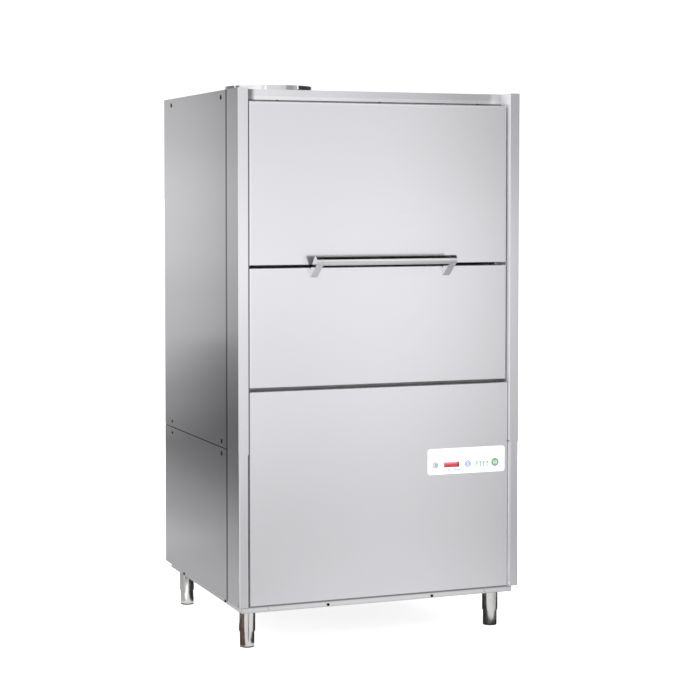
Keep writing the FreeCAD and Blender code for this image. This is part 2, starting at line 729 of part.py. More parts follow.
def control_membrane():
    y = PANEL_Y
    xs = (MEMBRANE_X - MEMBRANE_WIDTH / 2, MEMBRANE_X + MEMBRANE_WIDTH / 2)
    zs = (MEMBRANE_Z - MEMBRANE_HEIGHT / 2, MEMBRANE_Z + MEMBRANE_HEIGHT / 2)
    sheet = box(xs, (y - MEMBRANE_THICKNESS, y), zs)
    sheet = sheet.makeFillet(MEMBRANE_CORNER, along_y(sheet, MEMBRANE_THICKNESS))
    for x, z, radius in key_places().values():
        sheet = sheet.cut(rod(x, y - 2, z, Y_AXIS, radius + KEY_GAP, 3))
    sheet = sheet.cut(display_box((y - 2, y + 1)))
    for hole in light_rods(y - 2, 3):
        sheet = sheet.cut(hole)
    return sheet


def key(place):
    x, z, radius = place
    y = PANEL_Y - MEMBRANE_THICKNESS - KEY_PROUD
    disc = rod(x, y, z, Y_AXIS, radius, KEY_DEPTH)
    rim = [e for e in disc.Edges if abs(e.BoundBox.YMax - y) < 1e-6]
    return disc.makeFillet(KEY_PROUD, rim)


def display_window():
    return display_box((PANEL_Y - MEMBRANE_THICKNESS, PANEL_Y))


def cycle_lights():
    return light_rods(PANEL_Y - MEMBRANE_THICKNESS, MEMBRANE_THICKNESS)


def along_y(solid, length):
    """Edges of a block that run the full way along Y."""
    return [e for e in solid.Edges if abs(e.BoundBox.YLength - length) < 1e-6]


def control_box():
    y = PANEL_Y + SHEET + BOX_GAP
    xs = (MEMBRANE_X - BOX_INSIDE, MEMBRANE_X + BOX_OUTSIDE)
    zs = (MEMBRANE_Z - BOX_BELOW, MEMBRANE_Z + BOX_ABOVE)
    case = box(xs, (y, y + BOX_DEPTH), zs)
    case = case.makeFillet(BOX_CORNER, along_y(case, BOX_DEPTH))
    lugs = []
    for x in (xs[0] + LUG_INSET, xs[1] - LUG_INSET):
        for z in (zs[0] + LUG_INSET, zs[1] - LUG_INSET):
            lugs.append(rod(x, PANEL_Y + SHEET, z, Y_AXIS, LUG_RADIUS, 2 * BOX_GAP))
    return case.multiFuse(lugs)


def dosing_pumps():
    y = PANEL_Y + SHEET
    low = LOWER_DOOR_BOTTOM - DOSER_BELOW_DOOR - DOSER_HEIGHT
    solids = []
    for i in range(2):
        x = DOSER_FROM_SIDE - HALF_WIDTH + i * DOSER_PITCH
        body = box((x, x + DOSER_WIDTH), (y, y + DOSER_DEPTH), (low, low + DOSER_HEIGHT))
        body = body.makeFillet(DOSER_CORNER, along_y(body, DOSER_DEPTH))
        middle = x + DOSER_WIDTH / 2
        head_y = y + DOSER_DEPTH
        head_z = low + DOSER_HEAD_RISE
        parts = [rod(middle, head_y - 1, head_z, Y_AXIS, DOSER_HEAD_RADIUS, DOSER_HEAD_DEPTH + 1)]
        for port_x in (middle - DOSER_PORT_SIDE, middle + DOSER_PORT_SIDE):
            port_y = head_y + DOSER_HEAD_DEPTH / 2
            parts.append(rod(port_x, port_y, head_z, Z_AXIS, DOSER_PORT_RADIUS, DOSER_PORT_RISE))
        solids.append(body.multiFuse(parts))
    return solids


# Doors
def door_skin(zs, side_hole_z, hole_radius):
    skin = pan((-DOOR_HALF, DOOR_HALF), (DOOR_FRONT, DOOR_BACK - SHEET), zs)
    for z in side_hole_z:
        skin = skin.cut(rod(-DOOR_HALF - 1, PIVOT_Y, z, X_AXIS, hole_radius, 2 * DOOR_HALF + 2))
    return skin


def door_liner(zs, pin_heights, hole_radius):
    inner = (zs[0] + SHEET + SEAT, zs[1] - SHEET - SEAT)
    sheet = box((-DOOR_HALF, DOOR_HALF), (DOOR_BACK - SHEET, DOOR_BACK), zs)
    x = DOOR_ROOM
    flange = box((-x, x), (DOOR_BACK - LINER_RETURN, DOOR_BACK - SHEET), inner)
    room_zs = (inner[0] + SHEET, inner[1] - SHEET)
    room = box((-x + SHEET, x - SHEET), (DOOR_BACK - LINER_RETURN - 1, DOOR_BACK), room_zs)
    liner = sheet.fuse(flange.cut(room)).removeSplitter()
    for z in pin_heights:
        liner = liner.cut(rod(-x - 1, PIVOT_Y, z, X_AXIS, hole_radius, 2 * x + 2))
    return liner


def hinge_levers():
    outside = DOOR_ROOM - BLOCK_GAP
    block_ys = (DOOR_FRONT + SHEET, DOOR_BACK - LINER_RETURN - BLOCK_GAP)
    block_zs = (PIVOT_Z - HINGE_BLOCK_BELOW, PIVOT_Z + HINGE_BLOCK_ABOVE)
    block = box((outside - HINGE_BLOCK_WIDTH, outside), block_ys, block_zs)
    start = outside - PIN_IN_BLOCK
    lever_out = LEVER_X + LEVER_THICKNESS
    pin = rod(start, PIVOT_Y, PIVOT_Z, X_AXIS, PIN_RADIUS, lever_out - start)
    end_y = PIVOT_Y + LEVER_DROP
    end_z = PIVOT_Z - LEVER_DROP
    roller = rod(lever_out, end_y, end_z, X_AXIS, ROLLER_RADIUS, 2 * LINK_GAP + CARRIAGE_THICKNESS)
    right = block.multiFuse([pin, crank_lever(end_y, end_z), roller]).removeSplitter()
    return both_sides(right)


def crank_lever(end_y, end_z):
    """Flat link from the pin to the roller, its straight edges tangent to a round at each end."""
    heading = math.atan2(end_z - PIVOT_Z, end_y - PIVOT_Y)
    lean = math.acos((LEVER_HUB_RADIUS - LEVER_END_RADIUS) / LEVER_RADIUS)
    corners = []
    for side in (1, -1):
        away = Vec(0, math.cos(heading + side * lean), math.sin(heading + side * lean))
        near = Vec(LEVER_X, PIVOT_Y, PIVOT_Z) + away * LEVER_HUB_RADIUS
        far = Vec(LEVER_X, end_y, end_z) + away * LEVER_END_RADIUS
        corners += [near, far] if side > 0 else [far, near]
    web = polygon(corners).extrude(Vec(LEVER_THICKNESS, 0, 0))
    hub = rod(LEVER_X, PIVOT_Y, PIVOT_Z, X_AXIS, LEVER_HUB_RADIUS, LEVER_THICKNESS)
    end = rod(LEVER_X, end_y, end_z, X_AXIS, LEVER_END_RADIUS, LEVER_THICKNESS)
    return web.multiFuse([hub, end]).removeSplitter()


def lift_carriages():
    xs = (CARRIAGE_X, CARRIAGE_X + CARRIAGE_THICKNESS)
    bar_ys = (FRONT + CARRIAGE_BAR_SETBACK, FRONT + CARRIAGE_BAR_SETBACK + CARRIAGE_BAR_WIDTH)
    yoke_z = PIVOT_Z - LEVER_DROP
    slot_half = ROLLER_RADIUS + YOKE_MARGIN
    yoke_half = slot_half + YOKE_BORDER
    slot_start = PIVOT_Y + LEVER_DROP - LINK_GAP - ROLLER_RADIUS
    slot_end = PIVOT_Y + LEVER_RADIUS + LINK_GAP + ROLLER_RADIUS
    head_zs = (UPPER_DOOR_BOTTOM, UPPER_DOOR_BOTTOM + CARRIAGE_HEAD)
    parts = [box(xs, bar_ys, (yoke_z, head_zs[1]))]
    parts.append(box(xs, (bar_ys[0], slot_end), (yoke_z - yoke_half, yoke_z + yoke_half)))
    parts.append(rod(xs[0], slot_end, yoke_z, X_AXIS, yoke_half, CARRIAGE_THICKNESS))
    corner = Vec(xs[0], bar_ys[1], yoke_z + yoke_half)
    brace = polygon([corner, corner + Y_AXIS * BRACE_LEG, corner + Z_AXIS * BRACE_LEG])
    parts.append(brace.extrude(Vec(CARRIAGE_THICKNESS, 0, 0)))
    head = box(xs, (PIVOT_Y - CARRIAGE_HEAD_REACH, bar_ys[1]), head_zs)
    slot = box((xs[0] - 1, xs[1] + 1), (slot_start, slot_end), (yoke_z - slot_half, yoke_z + slot_half))
    plate = head.multiFuse(parts).removeSplitter().cut(slot)
    right = plate.multiFuse(carriage_fittings()).removeSplitter()
    return both_sides(right)


def carriage_fittings():
    """Pins from the upper door into the carriage, each with a guide roller and a door block."""
    start = DOOR_ROOM - DOOR_PIN_GRIP
    roller_x = COLUMN_IN + SHEET + 1
    block_ys = (DOOR_FRONT + SHEET, DOOR_BACK - LINER_RETURN - BLOCK_GAP)
    parts = []
    for height in DOOR_PIN_HEIGHTS:
        z = UPPER_DOOR_BOTTOM + height
        parts.append(rod(start, PIVOT_Y, z, X_AXIS, DOOR_PIN_RADIUS, CARRIAGE_X - start + 1))
        parts.append(rod(roller_x, PIVOT_Y, z, X_AXIS, GUIDE_ROLLER_RADIUS, CARRIAGE_X - roller_x - 2))
        block_zs = (z - DOOR_BLOCK_HEIGHT / 2, z + DOOR_BLOCK_HEIGHT / 2)
        parts.append(box((start - DOOR_BLOCK_WIDTH, start), block_ys, block_zs))
    return parts


def door_guides():
    half = GUIDE_ROLLER_RADIUS + GUIDE_GAP
    zs = (UPPER_DOOR_BOTTOM, UPPER_DOOR_TOP)
    xs = (COLUMN_IN + SHEET, CARRIAGE_X - 1)
    front = box(xs, (PIVOT_Y - half - GUIDE_STRIP, PIVOT_Y - half), zs)
    rear = box(xs, (PIVOT_Y + half, PIVOT_Y + half + GUIDE_STRIP), zs)
    return both_sides(front) + both_sides(rear)


def hinge_bushes():
    length = LEVER_X - COLUMN_IN - SEAT
    bore = PIN_RADIUS + RUN_FIT
    ring = rod(COLUMN_IN, PIVOT_Y, PIVOT_Z, X_AXIS, bore + BUSH_WALL - 2 * RUN_FIT, length)
    ring = ring.cut(rod(COLUMN_IN - 1, PIVOT_Y, PIVOT_Z, X_AXIS, bore, length + 2))
    return both_sides(ring)


def handle_bar():
    reach = HANDLE_HALF_LENGTH - BRACKET_WIDTH
    return rod(-reach, BAR_Y, BAR_Z, X_AXIS, BAR_RADIUS, 2 * reach)


def tangent_point(y, z, side):
    """Point where a line from a foot corner touches the round bracket head."""
    run = math.hypot(y - BAR_Y, z - BAR_Z)
    heading = math.atan2(z - BAR_Z, y - BAR_Y)
    angle = heading + side * math.acos(HEAD_RADIUS / run)
    return Vec(0, BAR_Y + HEAD_RADIUS * math.cos(angle), BAR_Z + HEAD_RADIUS * math.sin(angle))


def handle_brackets():
    low = BAR_Z - BRACKET_FOOT_DROP
    high = low + BRACKET_FOOT_HEIGHT
    front = tangent_point(DOOR_FRONT, low, -1)
    rear = tangent_point(DOOR_FRONT, high, 1)
    crown = Vec(0, BAR_Y - HEAD_RADIUS * 0.6, BAR_Z + HEAD_RADIUS * 0.8)
    outline = [
        Part.makeLine(Vec(0, DOOR_FRONT, high), Vec(0, DOOR_FRONT, low)),
        Part.makeLine(Vec(0, DOOR_FRONT, low), front),
        Part.Arc(front, crown, rear).toShape(),
        Part.makeLine(rear, Vec(0, DOOR_FRONT, high)),
    ]
    bracket = Part.Face(Part.Wire(outline)).extrude(Vec(BRACKET_WIDTH, 0, 0))
    bracket.translate(Vec(HANDLE_HALF_LENGTH - BRACKET_WIDTH, 0, 0))
    return both_sides(bracket)


# Wash chamber, tank and what they carry
def wash_chamber():
    ys = (CHAMBER_FRONT, CHAMBER_BACK)
    zs = (CHAMBER_FLOOR_Z, CHAMBER_TOP_Z)
    side = box((CHAMBER_HALF, CHAMBER_HALF + SHEET), ys, zs)
    back = box((-CHAMBER_HALF - SHEET, CHAMBER_HALF + SHEET), (CHAMBER_BACK, CHAMBER_BACK + SHEET), zs)
    back = back.cut(rod(0, CHAMBER_BACK - 1, LOWER_FEED_Z, Y_AXIS, HUB_PIPE_RADIUS + SEAT, SHEET + 2))
    roof_xs = (-CHAMBER_HALF - SHEET, CHAMBER_HALF + SHEET)
    roof = box(roof_xs, (CHAMBER_FRONT, CHAMBER_BACK + SHEET), (CHAMBER_TOP_Z, CHAMBER_TOP_Z + SHEET))
    for x, y, radius in ((COLLAR_X, COLLAR_Y, COLLAR_RADIUS), (0, CENTRE_Y, HUB_PIPE_RADIUS)):
        roof = roof.cut(rod(x, y, CHAMBER_TOP_Z - 1, Z_AXIS, radius + SEAT, SHEET + 2))
    return both_sides(side) + [back, roof]


def door_frame():
    ys = (FRAME_Y, CHAMBER_FRONT)
    side = box((CHAMBER_HALF, COLUMN_IN), ys, (CHAMBER_FLOOR_Z, CHAMBER_TOP_Z + FRAME_TOP_OVERLAP))
    top = box((-CHAMBER_HALF, CHAMBER_HALF), ys, (CHAMBER_TOP_Z, CHAMBER_TOP_Z + FRAME_TOP_OVERLAP))
    sill = box((-CHAMBER_HALF, CHAMBER_HALF), ys, (CHAMBER_FLOOR_Z, CHAMBER_FLOOR_Z + SILL_HEIGHT))
    return both_sides(side) + [top, sill]


def door_seal():
    ys = (DOOR_BACK + SEAT, FRAME_Y)
    inside = CHAMBER_HALF + SEAL_FROM_OPENING
    top_z = CHAMBER_TOP_Z + SEAL_ABOVE_ROOF
    side = box((inside, inside + SEAL_WIDTH), ys, (PIVOT_Z + SEAL_ABOVE_PIVOT, top_z + SEAL_WIDTH))
    top = box((-inside, inside), ys, (top_z, top_z + SEAL_WIDTH))
    solids = []
    for strip in both_sides(side) + [top]:
        edges = [e for e in strip.Edges if abs(e.BoundBox.YMax - ys[0]) < 1e-6 and e.Length > 2 * SEAL_WIDTH]
        solids.append(strip.makeFillet(SEAL_CORNER, edges))
    return solids


def tank_planes():
    half = CHAMBER_HALF - TANK_SIDE_MARGIN
    return (-half, half), (CHAMBER_FRONT + TANK_FRONT_MARGIN, CHAMBER_BACK - TANK_BACK_MARGIN)


def tank_floor_z(y):
    front, back = tank_planes()[1]
    return TANK_BOTTOM_Z + TANK_SLOPE * (back - y) / (back - front)


def apron_plate(outer, inner):
    """Sloping floor plate between a chamber edge and the tank rim below it."""
    rim = CHAMBER_FLOOR_Z - APRON_DROP
    points = [Vec(x, y, CHAMBER_FLOOR_Z) for x, y in outer] + [Vec(x, y, rim) for x, y in inner]
    return polygon(points).extrude(Vec(0, 0, TANK_WALL))


def wash_tank():
    xs, ys = tank_planes()
    rim = CHAMBER_FLOOR_Z - APRON_DROP
    low = TANK_BOTTOM_Z - TANK_SKIRT
    c = CHAMBER_HALF
    apron = apron_plate([(c, CHAMBER_BACK), (c, CHAMBER_FRONT)], [(xs[1], ys[0]), (xs[1], ys[1])])
    right, left = both_sides(box((xs[1], xs[1] + TANK_WALL), ys, (low, rim)))
    hole_radius = HEATER_NECK_RADIUS + SEAT
    hole = rod(xs[1] - 1, HEATER_Y, TANK_BOTTOM_Z + HEATER_HEIGHT, X_AXIS, hole_radius, TANK_WALL + 2)
    solids = both_sides(apron) + [right.cut(hole), left]
    solids.append(apron_plate([(-c, CHAMBER_FRONT), (c, CHAMBER_FRONT)], [(xs[1], ys[0]), (xs[0], ys[0])]))
    back = apron_plate([(-c, CHAMBER_BACK), (c, CHAMBER_BACK)], [(xs[1], ys[1]), (xs[0], ys[1])])
    solids.append(back.cut(rod(0, ys[1], LOWER_FEED_Z, Y_AXIS, HUB_PIPE_RADIUS + SEAT, TANK_BACK_MARGIN)))
    wall_xs = (xs[0] - TANK_WALL, xs[1] + TANK_WALL)
    solids.append(box(wall_xs, (ys[0] - TANK_WALL, ys[0]), (low, rim)))
    solids.append(box(wall_xs, (ys[1], ys[1] + TANK_WALL), (low, rim)))
    front = Vec(xs[0], ys[0], tank_floor_z(ys[0]))
    back = Vec(xs[0], ys[1], tank_floor_z(ys[1]))
    rise = Z_AXIS * TANK_WALL
    floor = polygon([front, back, back + rise, front + rise]).extrude(Vec(xs[1] - xs[0], 0, 0))
    for x, y, radius in ((SUMP_X, PUMP_Y, INLET_RADIUS), (DRAIN_X, DRAIN_Y, DRAIN_TUBE_RADIUS)):
        floor = floor.cut(rod(x, y, low, Z_AXIS, radius + SEAT, TANK_SKIRT + TANK_SLOPE + TANK_WALL + 1))
    solids.append(floor)
    return solids


def tank_filters():
    """Two slotted trays side by side that rest on the tank rim."""
    xs, ys = tank_planes()
    rim = CHAMBER_FLOOR_Z - APRON_DROP + TANK_WALL
    low = rim + FILTER_LIFT
    tray_ys = (ys[0] - FILTER_LIP, ys[1] + FILTER_LIP)
    tray = box((SEAT, xs[1] + FILTER_LIP), tray_ys, (low, low + TANK_WALL))
    pitch_x = (xs[1] - FILTER_FROM_MIDDLE - FILTER_END_BAR) / FILTER_COLUMNS
    pitch_y = (ys[1] - ys[0] - 2 * FILTER_END_BAR) / FILTER_ROWS
    slots = []
    for i in range(FILTER_COLUMNS):
        for j in range(FILTER_ROWS):
            x = FILTER_FROM_MIDDLE + i * pitch_x
            y = ys[0] + FILTER_END_BAR + j * pitch_y
            slot_zs = (low - 1, low + TANK_WALL + 1)
            slots.append(box((x, x + pitch_x - FILTER_SIDE_BAR), (y, y + FILTER_SLOT), slot_zs))
    return both_sides(tray.cut(Part.makeCompound(slots)))


def overflow_pipe():
    low = tank_floor_z(DRAIN_Y) + TANK_WALL + SEAT
    length = CHAMBER_FLOOR_Z - OVERFLOW_BELOW_FLOOR - low
    tube = rod(DRAIN_X, DRAIN_Y, low, Z_AXIS, DRAIN_RADIUS, length)
    collar_z = low + OVERFLOW_COLLAR_RISE
    collar = rod(DRAIN_X, DRAIN_Y, collar_z, Z_AXIS, DRAIN_RADIUS + OVERFLOW_COLLAR, OVERFLOW_COLLAR_HEIGHT)
    room = rod(DRAIN_X, DRAIN_Y, low - 1, Z_AXIS, DRAIN_RADIUS - TANK_WALL, length + 2)
    return tube.fuse(collar).removeSplitter().cut(room)


def tank_heater():
    """Looped tube element on a flange in the right tank wall."""
    wall_x = tank_planes()[0][1]
    far_x = wall_x - HEATER_REACH
    y = HEATER_Y
    ys = (y - HEATER_LOOP_HALF, y + HEATER_LOOP_HALF)
    z = TANK_BOTTOM_Z + HEATER_HEIGHT
    loop = []
    for i in range(3):
        loop_z = z + (i - 1) * HEATER_LOOP_PITCH
        points = [Vec(wall_x, ys[0], loop_z), Vec(far_x, ys[0], loop_z)]
        points += [Vec(far_x, ys[1], loop_z), Vec(wall_x, ys[1], loop_z)]
        loop.append(pipe(points, HEATER_TUBE_RADIUS, HEATER_LOOP_BEND))
    out_x = wall_x + TANK_WALL
    flange = rod(out_x, y, z, X_AXIS, HEATER_FLANGE_RADIUS, HEATER_FLANGE)
    neck_start = wall_x - HEATER_NECK
    neck = rod(neck_start, y, z, X_AXIS, HEATER_NECK_RADIUS, out_x + HEATER_FLANGE / 2 - neck_start)
    cover = rod(out_x + HEATER_FLANGE, y, z, X_AXIS, HEATER_COVER_RADIUS, HEATER_COVER)
    return flange.multiFuse([neck, cover] + loop)


# Wash and rinse arms
def arm_blade():
    """Half of a flattened arm that narrows towards its closed tip."""
    stations = (
        (0.0, ARM_HALF_WIDTH, 0.0),
        (ARM_RADIUS * 0.55, ARM_HALF_WIDTH, 0.0),
        (ARM_RADIUS, ARM_TIP_HALF_WIDTH, ARM_TIP_DROP),
    )
    sections = []
    for x, half, drop in stations:
        low = drop / 2
        high = ARM_HEIGHT - drop / 2
        middle = ARM_HEIGHT / 2
        flat = half - (high - low) / 2 + 0.5
        edges = []
        for side, start, end in ((1, low, high), (-1, high, low)):
            edges.append(Part.makeLine(Vec(x, -side * flat, start), Vec(x, side * flat, start)))
            arc = Part.Arc(Vec(x, side * flat, start), Vec(x, side * half, middle), Vec(x, side * flat, end))
            edges.append(arc.toShape())
        sections.append(Part.Wire(edges))
    return Part.makeLoft(sections, True, True)


def nozzle_places():
    """Distances along the arm; one side is shifted so that the jets cover different rings."""
    first = ARM_HUB_RADIUS + NOZZLE_FROM_HUB
    right = [first + NOZZLE_PITCH / 3 + i * NOZZLE_PITCH for i in range(NOZZLE_COUNT)]
    left = [-first - i * NOZZLE_PITCH for i in range(NOZZLE_COUNT)]
    return right + left


def wash_arm(z, upward):
    """Two-bladed arm with slotted nozzles on its working face."""
    half = arm_blade()
    arm = half.fuse(half.mirror(Vec(0, 0, 0), X_AXIS))
    top = ARM_HEIGHT + NOZZLE_HEIGHT
    slot_ys = (-NOZZLE_RADIUS - 1, NOZZLE_RADIUS + 1)
    parts = [rod(0, 0, -HUB_BELOW_BLADE, Z_AXIS, ARM_HUB_RADIUS, ARM_HUB_HEIGHT)]
    cuts = [rod(0, 0, -HUB_BELOW_BLADE - 1, Z_AXIS, HUB_PIPE_RADIUS + RUN_FIT, ARM_HUB_HEIGHT + 2)]
    for x in nozzle_places():
        parts.append(rod(x, 0, ARM_HEIGHT - 2, Z_AXIS, NOZZLE_RADIUS, NOZZLE_HEIGHT + 2))
        cuts.append(box((x - NOZZLE_SLOT / 2, x + NOZZLE_SLOT / 2), slot_ys, (top - NOZZLE_SLOT, top + 1)))
    arm = arm.multiFuse(parts).removeSplitter().cut(Part.makeCompound(cuts))
    arm.translate(Vec(0, 0, HUB_BELOW_BLADE))
    if not upward:
        arm.rotate(Vec(0, 0, 0), X_AXIS, 180)
    arm.rotate(Vec(0, 0, 0), Z_AXIS, ARM_ANGLE)
    arm.translate(Vec(0, CENTRE_Y, z))
    return arm


def rinse_arm(z, upward):
    """Thin cross tube with small jets on its own hub."""
    middle = RINSE_HUB_HEIGHT / 2
    parts = [rod(-RINSE_RADIUS, 0, middle, X_AXIS, RINSE_TUBE_RADIUS, 2 * RINSE_RADIUS)]
    for side in (1, -1):
        for i in range(JET_COUNT):
            x = side * (RINSE_HUB_RADIUS + JET_FROM_HUB + i * JET_PITCH)
            parts.append(rod(x, 0, middle, Z_AXIS, JET_RADIUS, RINSE_TUBE_RADIUS + JET_HEIGHT))
    hub = rod(0, 0, 0, Z_AXIS, RINSE_HUB_RADIUS, RINSE_HUB_HEIGHT)
    arm = hub.multiFuse(parts).cut(rod(0, 0, -1, Z_AXIS, HUB_PIPE_RADIUS + RUN_FIT, RINSE_HUB_HEIGHT + 2))
    if not upward:
        arm.rotate(Vec(0, 0, 0), X_AXIS, 180)
    arm.rotate(Vec(0, 0, 0), Z_AXIS, RINSE_ANGLE)
    arm.translate(Vec(0, CENTRE_Y, z))
    return arm


def arm_levels():
    """Heights of the lower hub stack; the upper one hangs the other way up."""
    wash = LOWER_ARM_Z
    rinse = wash + ARM_HUB_HEIGHT + HUB_GAP
    nut = rinse + RINSE_HUB_HEIGHT + HUB_GAP
    return wash, rinse, nut


def arm_nuts():
    stack = arm_levels()[2] - LOWER_ARM_Z
    solids = []
    for z in (arm_levels()[2], UPPER_ARM_Z - stack - NUT_HEIGHT):
        nut = rod(0, CENTRE_Y, z, Z_AXIS, NUT_RADIUS, NUT_HEIGHT)
        grips = []
        for i in range(NUT_GRIPS):
            angle = math.tau * i / NUT_GRIPS
            x = NUT_RADIUS * math.cos(angle)
            y = CENTRE_Y + NUT_RADIUS * math.sin(angle)
            grips.append(rod(x, y, z - 1, Z_AXIS, NUT_GRIP_RADIUS, NUT_HEIGHT + 2))
        nut = nut.cut(Part.makeCompound(grips))
        solids.append(nut.cut(rod(0, CENTRE_Y, z - 1, Z_AXIS, HUB_PIPE_RADIUS, NUT_HEIGHT + 2)))
    return solids


def wash_manifold():
    """Riser from the pump with a feed to each pair of arms."""
    y = RISER_Y
    stack = arm_levels()[2] - LOWER_ARM_Z + NUT_HEIGHT
    riser = [
        Vec(0, OUTLET_Y, OUTLET_Z),
        Vec(0, y, OUTLET_Z),
        Vec(0, y, UPPER_FEED_Z),
        Vec(0, CENTRE_Y, UPPER_FEED_Z),
        Vec(0, CENTRE_Y, CHAMBER_TOP_Z + SHEET + UPPER_FEED_END),
    ]
    feed = [Vec(0, y, LOWER_FEED_Z), Vec(0, CENTRE_Y, LOWER_FEED_Z), Vec(0, CENTRE_Y, LOWER_ARM_Z + stack)]
    low = UPPER_ARM_Z - stack
    drop = rod(0, CENTRE_Y, low, Z_AXIS, HUB_PIPE_RADIUS, CHAMBER_TOP_Z + DROP_OVERLAP - low)
    parts = [pipe(feed, HUB_PIPE_RADIUS, LOWER_FEED_BEND), drop]
    for z in (LOWER_ARM_Z - SHOULDER_HEIGHT - SEAT, UPPER_ARM_Z + SEAT):
        parts.append(rod(0, CENTRE_Y, z, Z_AXIS, SHOULDER_RADIUS, SHOULDER_HEIGHT))
    outer = pipe(riser, RISER_RADIUS, RISER_BEND).multiFuse(parts)
    bore = HUB_PIPE_RADIUS - PIPE_WALL
    inner = pipe(riser[:-1] + [riser[-1] + Z_AXIS * END_PLATE], RISER_RADIUS - PIPE_WALL, RISER_BEND)
    inner_feed = pipe(feed, bore, LOWER_FEED_BEND)
    inner_drop = rod(0, CENTRE_Y, low - 1, Z_AXIS, bore, CHAMBER_TOP_Z + DROP_OVERLAP - low + 2)
    return outer.cut(inner.multiFuse([inner_feed, inner_drop]))


# Rack
def rack_rails():
    z = CHAMBER_FLOOR_Z + RACK_ABOVE_FLOOR - WIRE_RADIUS
    ys = (CHAMBER_FRONT + RACK_RAIL_FROM_DOOR, CHAMBER_BACK)
    ledge = box((CHAMBER_HALF - RAIL_LEG, CHAMBER_HALF), ys, (z - RACK_RAIL_SHEET, z))
    web = box((CHAMBER_HALF - RACK_RAIL_SHEET, CHAMBER_HALF), ys, (z - RAIL_LEG, z))
    return both_sides(ledge.fuse(web).removeSplitter())


def wire(start, end, radius):
    return Part.makeCylinder(radius, start.distanceToPoint(end), start, end - start)


def flat_grid(corner, along, up, length, height, count, rows, radius):
    """Perimeter frame of round wire with evenly spaced thin wires inside it."""
    across = along * length
    rise = up * height
    wires = []
    for start in (corner, corner + rise):
        wires.append(wire(start, start + across, radius))
        wires += [Part.makeSphere(radius, start), Part.makeSphere(radius, start + across)]
    for start in (corner, corner + across):
        wires.append(wire(start, start + rise, radius))
    for i in range(1, count):
        start = corner + across * (i / count)
        wires.append(wire(start, start + rise, THIN_WIRE_RADIUS))
    for j in range(1, rows):
        start = corner + rise * (j / rows)
        wires.append(wire(start, start + across, THIN_WIRE_RADIUS))
    return wires[0].multiFuse(wires[1:])


def rack():
    r = WIRE_RADIUS
    x = CHAMBER_HALF - RACK_SIDE_ROOM - r
    y0 = CHAMBER_FRONT + RACK_END_ROOM + r
    depth = CHAMBER_BACK - RACK_END_ROOM - r - y0
    z = CHAMBER_FLOOR_Z + RACK_ABOVE_FLOOR
    side_z = z + 2 * r
    rise = RACK_HEIGHT - 4 * r
    cells = RACK_CELLS
    floor = flat_grid(Vec(-x, y0, z), X_AXIS, Y_AXIS, 2 * x, depth, cells, cells - 2, r)
    side = flat_grid(Vec(x, y0, side_z), Y_AXIS, Z_AXIS, depth, rise, cells - 3, 1, r)
    inset = 2 * r
    front = flat_grid(Vec(-x + inset, y0, side_z), X_AXIS, Z_AXIS, 2 * (x - inset), rise, cells - 1, 1, r)
    back = front.copy()
    back.translate(Vec(0, depth, 0))
    return [floor, front, back] + both_sides(side)


# Wash pump
def volute_outline(offset):
    """Scroll outline in the YZ plane, four arcs of growing radius with a straight outlet."""
    cy = PUMP_Y
    cz = PUMP_Z
    r = [VOLUTE_RADIUS - VOLUTE_GROWTH + i * VOLUTE_GROWTH / 3 + offset for i in range(4)]
    outlet = OUTLET_RADIUS + offset
    top = cz + VOLUTE_RADIUS + offset
    end_y = OUTLET_Y - OUTLET_NECK + 1
    arcs = []
    start = Vec(0, cy + r[0], cz)
    angle = 0
    for i in range(3):
        finish_radius = r[i + 1]
        mid_angle = math.radians(angle - 45)
        end_angle = math.radians(angle - 90)
        mid_radius = (r[i] + finish_radius) / 2
        middle = Vec(0, cy + mid_radius * math.cos(mid_angle), cz + mid_radius * math.sin(mid_angle))
        finish = Vec(0, cy + finish_radius * math.cos(end_angle), cz + finish_radius * math.sin(end_angle))
        arcs.append(Part.Arc(start, middle, finish).toShape())
        start = finish
        angle -= 90
    upper = Vec(0, end_y, top)
    lower = Vec(0, end_y, top - 2 * outlet)
    tongue = Vec(0, cy + r[0], top - 2 * outlet)
    lines = [Part.makeLine(start, upper), Part.makeLine(upper, lower), Part.makeLine(lower, tongue)]
    if abs(tongue.z - cz) > 1e-6:
        lines.append(Part.makeLine(tongue, Vec(0, cy + r[0], cz)))
    return Part.Face(Part.Wire(arcs + lines))


def pump_casing():
    cy = PUMP_Y
    half = VOLUTE_WIDTH / 2
    shell = volute_outline(0).extrude(Vec(VOLUTE_WIDTH, 0, 0))
    room = volute_outline(-VOLUTE_WALL).extrude(Vec(VOLUTE_WIDTH - 2 * VOLUTE_WALL, 0, 0))
    shell.translate(Vec(-half, 0, 0))
    room.translate(Vec(-half + VOLUTE_WALL, 0, 0))
    neck_y = OUTLET_Y - OUTLET_NECK
    stub_x = -half - INLET_STUB
    neck = rod(0, neck_y, OUTLET_Z, Y_AXIS, OUTLET_RADIUS, OUTLET_NECK)
    stub = rod(stub_x, cy, PUMP_Z, X_AXIS, INLET_RADIUS + INLET_WALL, INLET_STUB + 2)
    outlet_start = neck_y - VOLUTE_WALL - 2
    outlet = rod(0, outlet_start, OUTLET_Z, Y_AXIS, RISER_RADIUS - PIPE_WALL, OUTLET_Y + 1 - outlet_start)
    inlet = rod(stub_x - 1, cy, PUMP_Z, X_AXIS, INLET_RADIUS, INLET_STUB + VOLUTE_WALL + 2)
    shaft = rod(half - VOLUTE_WALL - 1, cy, PUMP_Z, X_AXIS, SHAFT_RADIUS + RUN_FIT, VOLUTE_WALL + 2)
    return shell.multiFuse([neck, stub]).cut(room.multiFuse([outlet, inlet, shaft]))


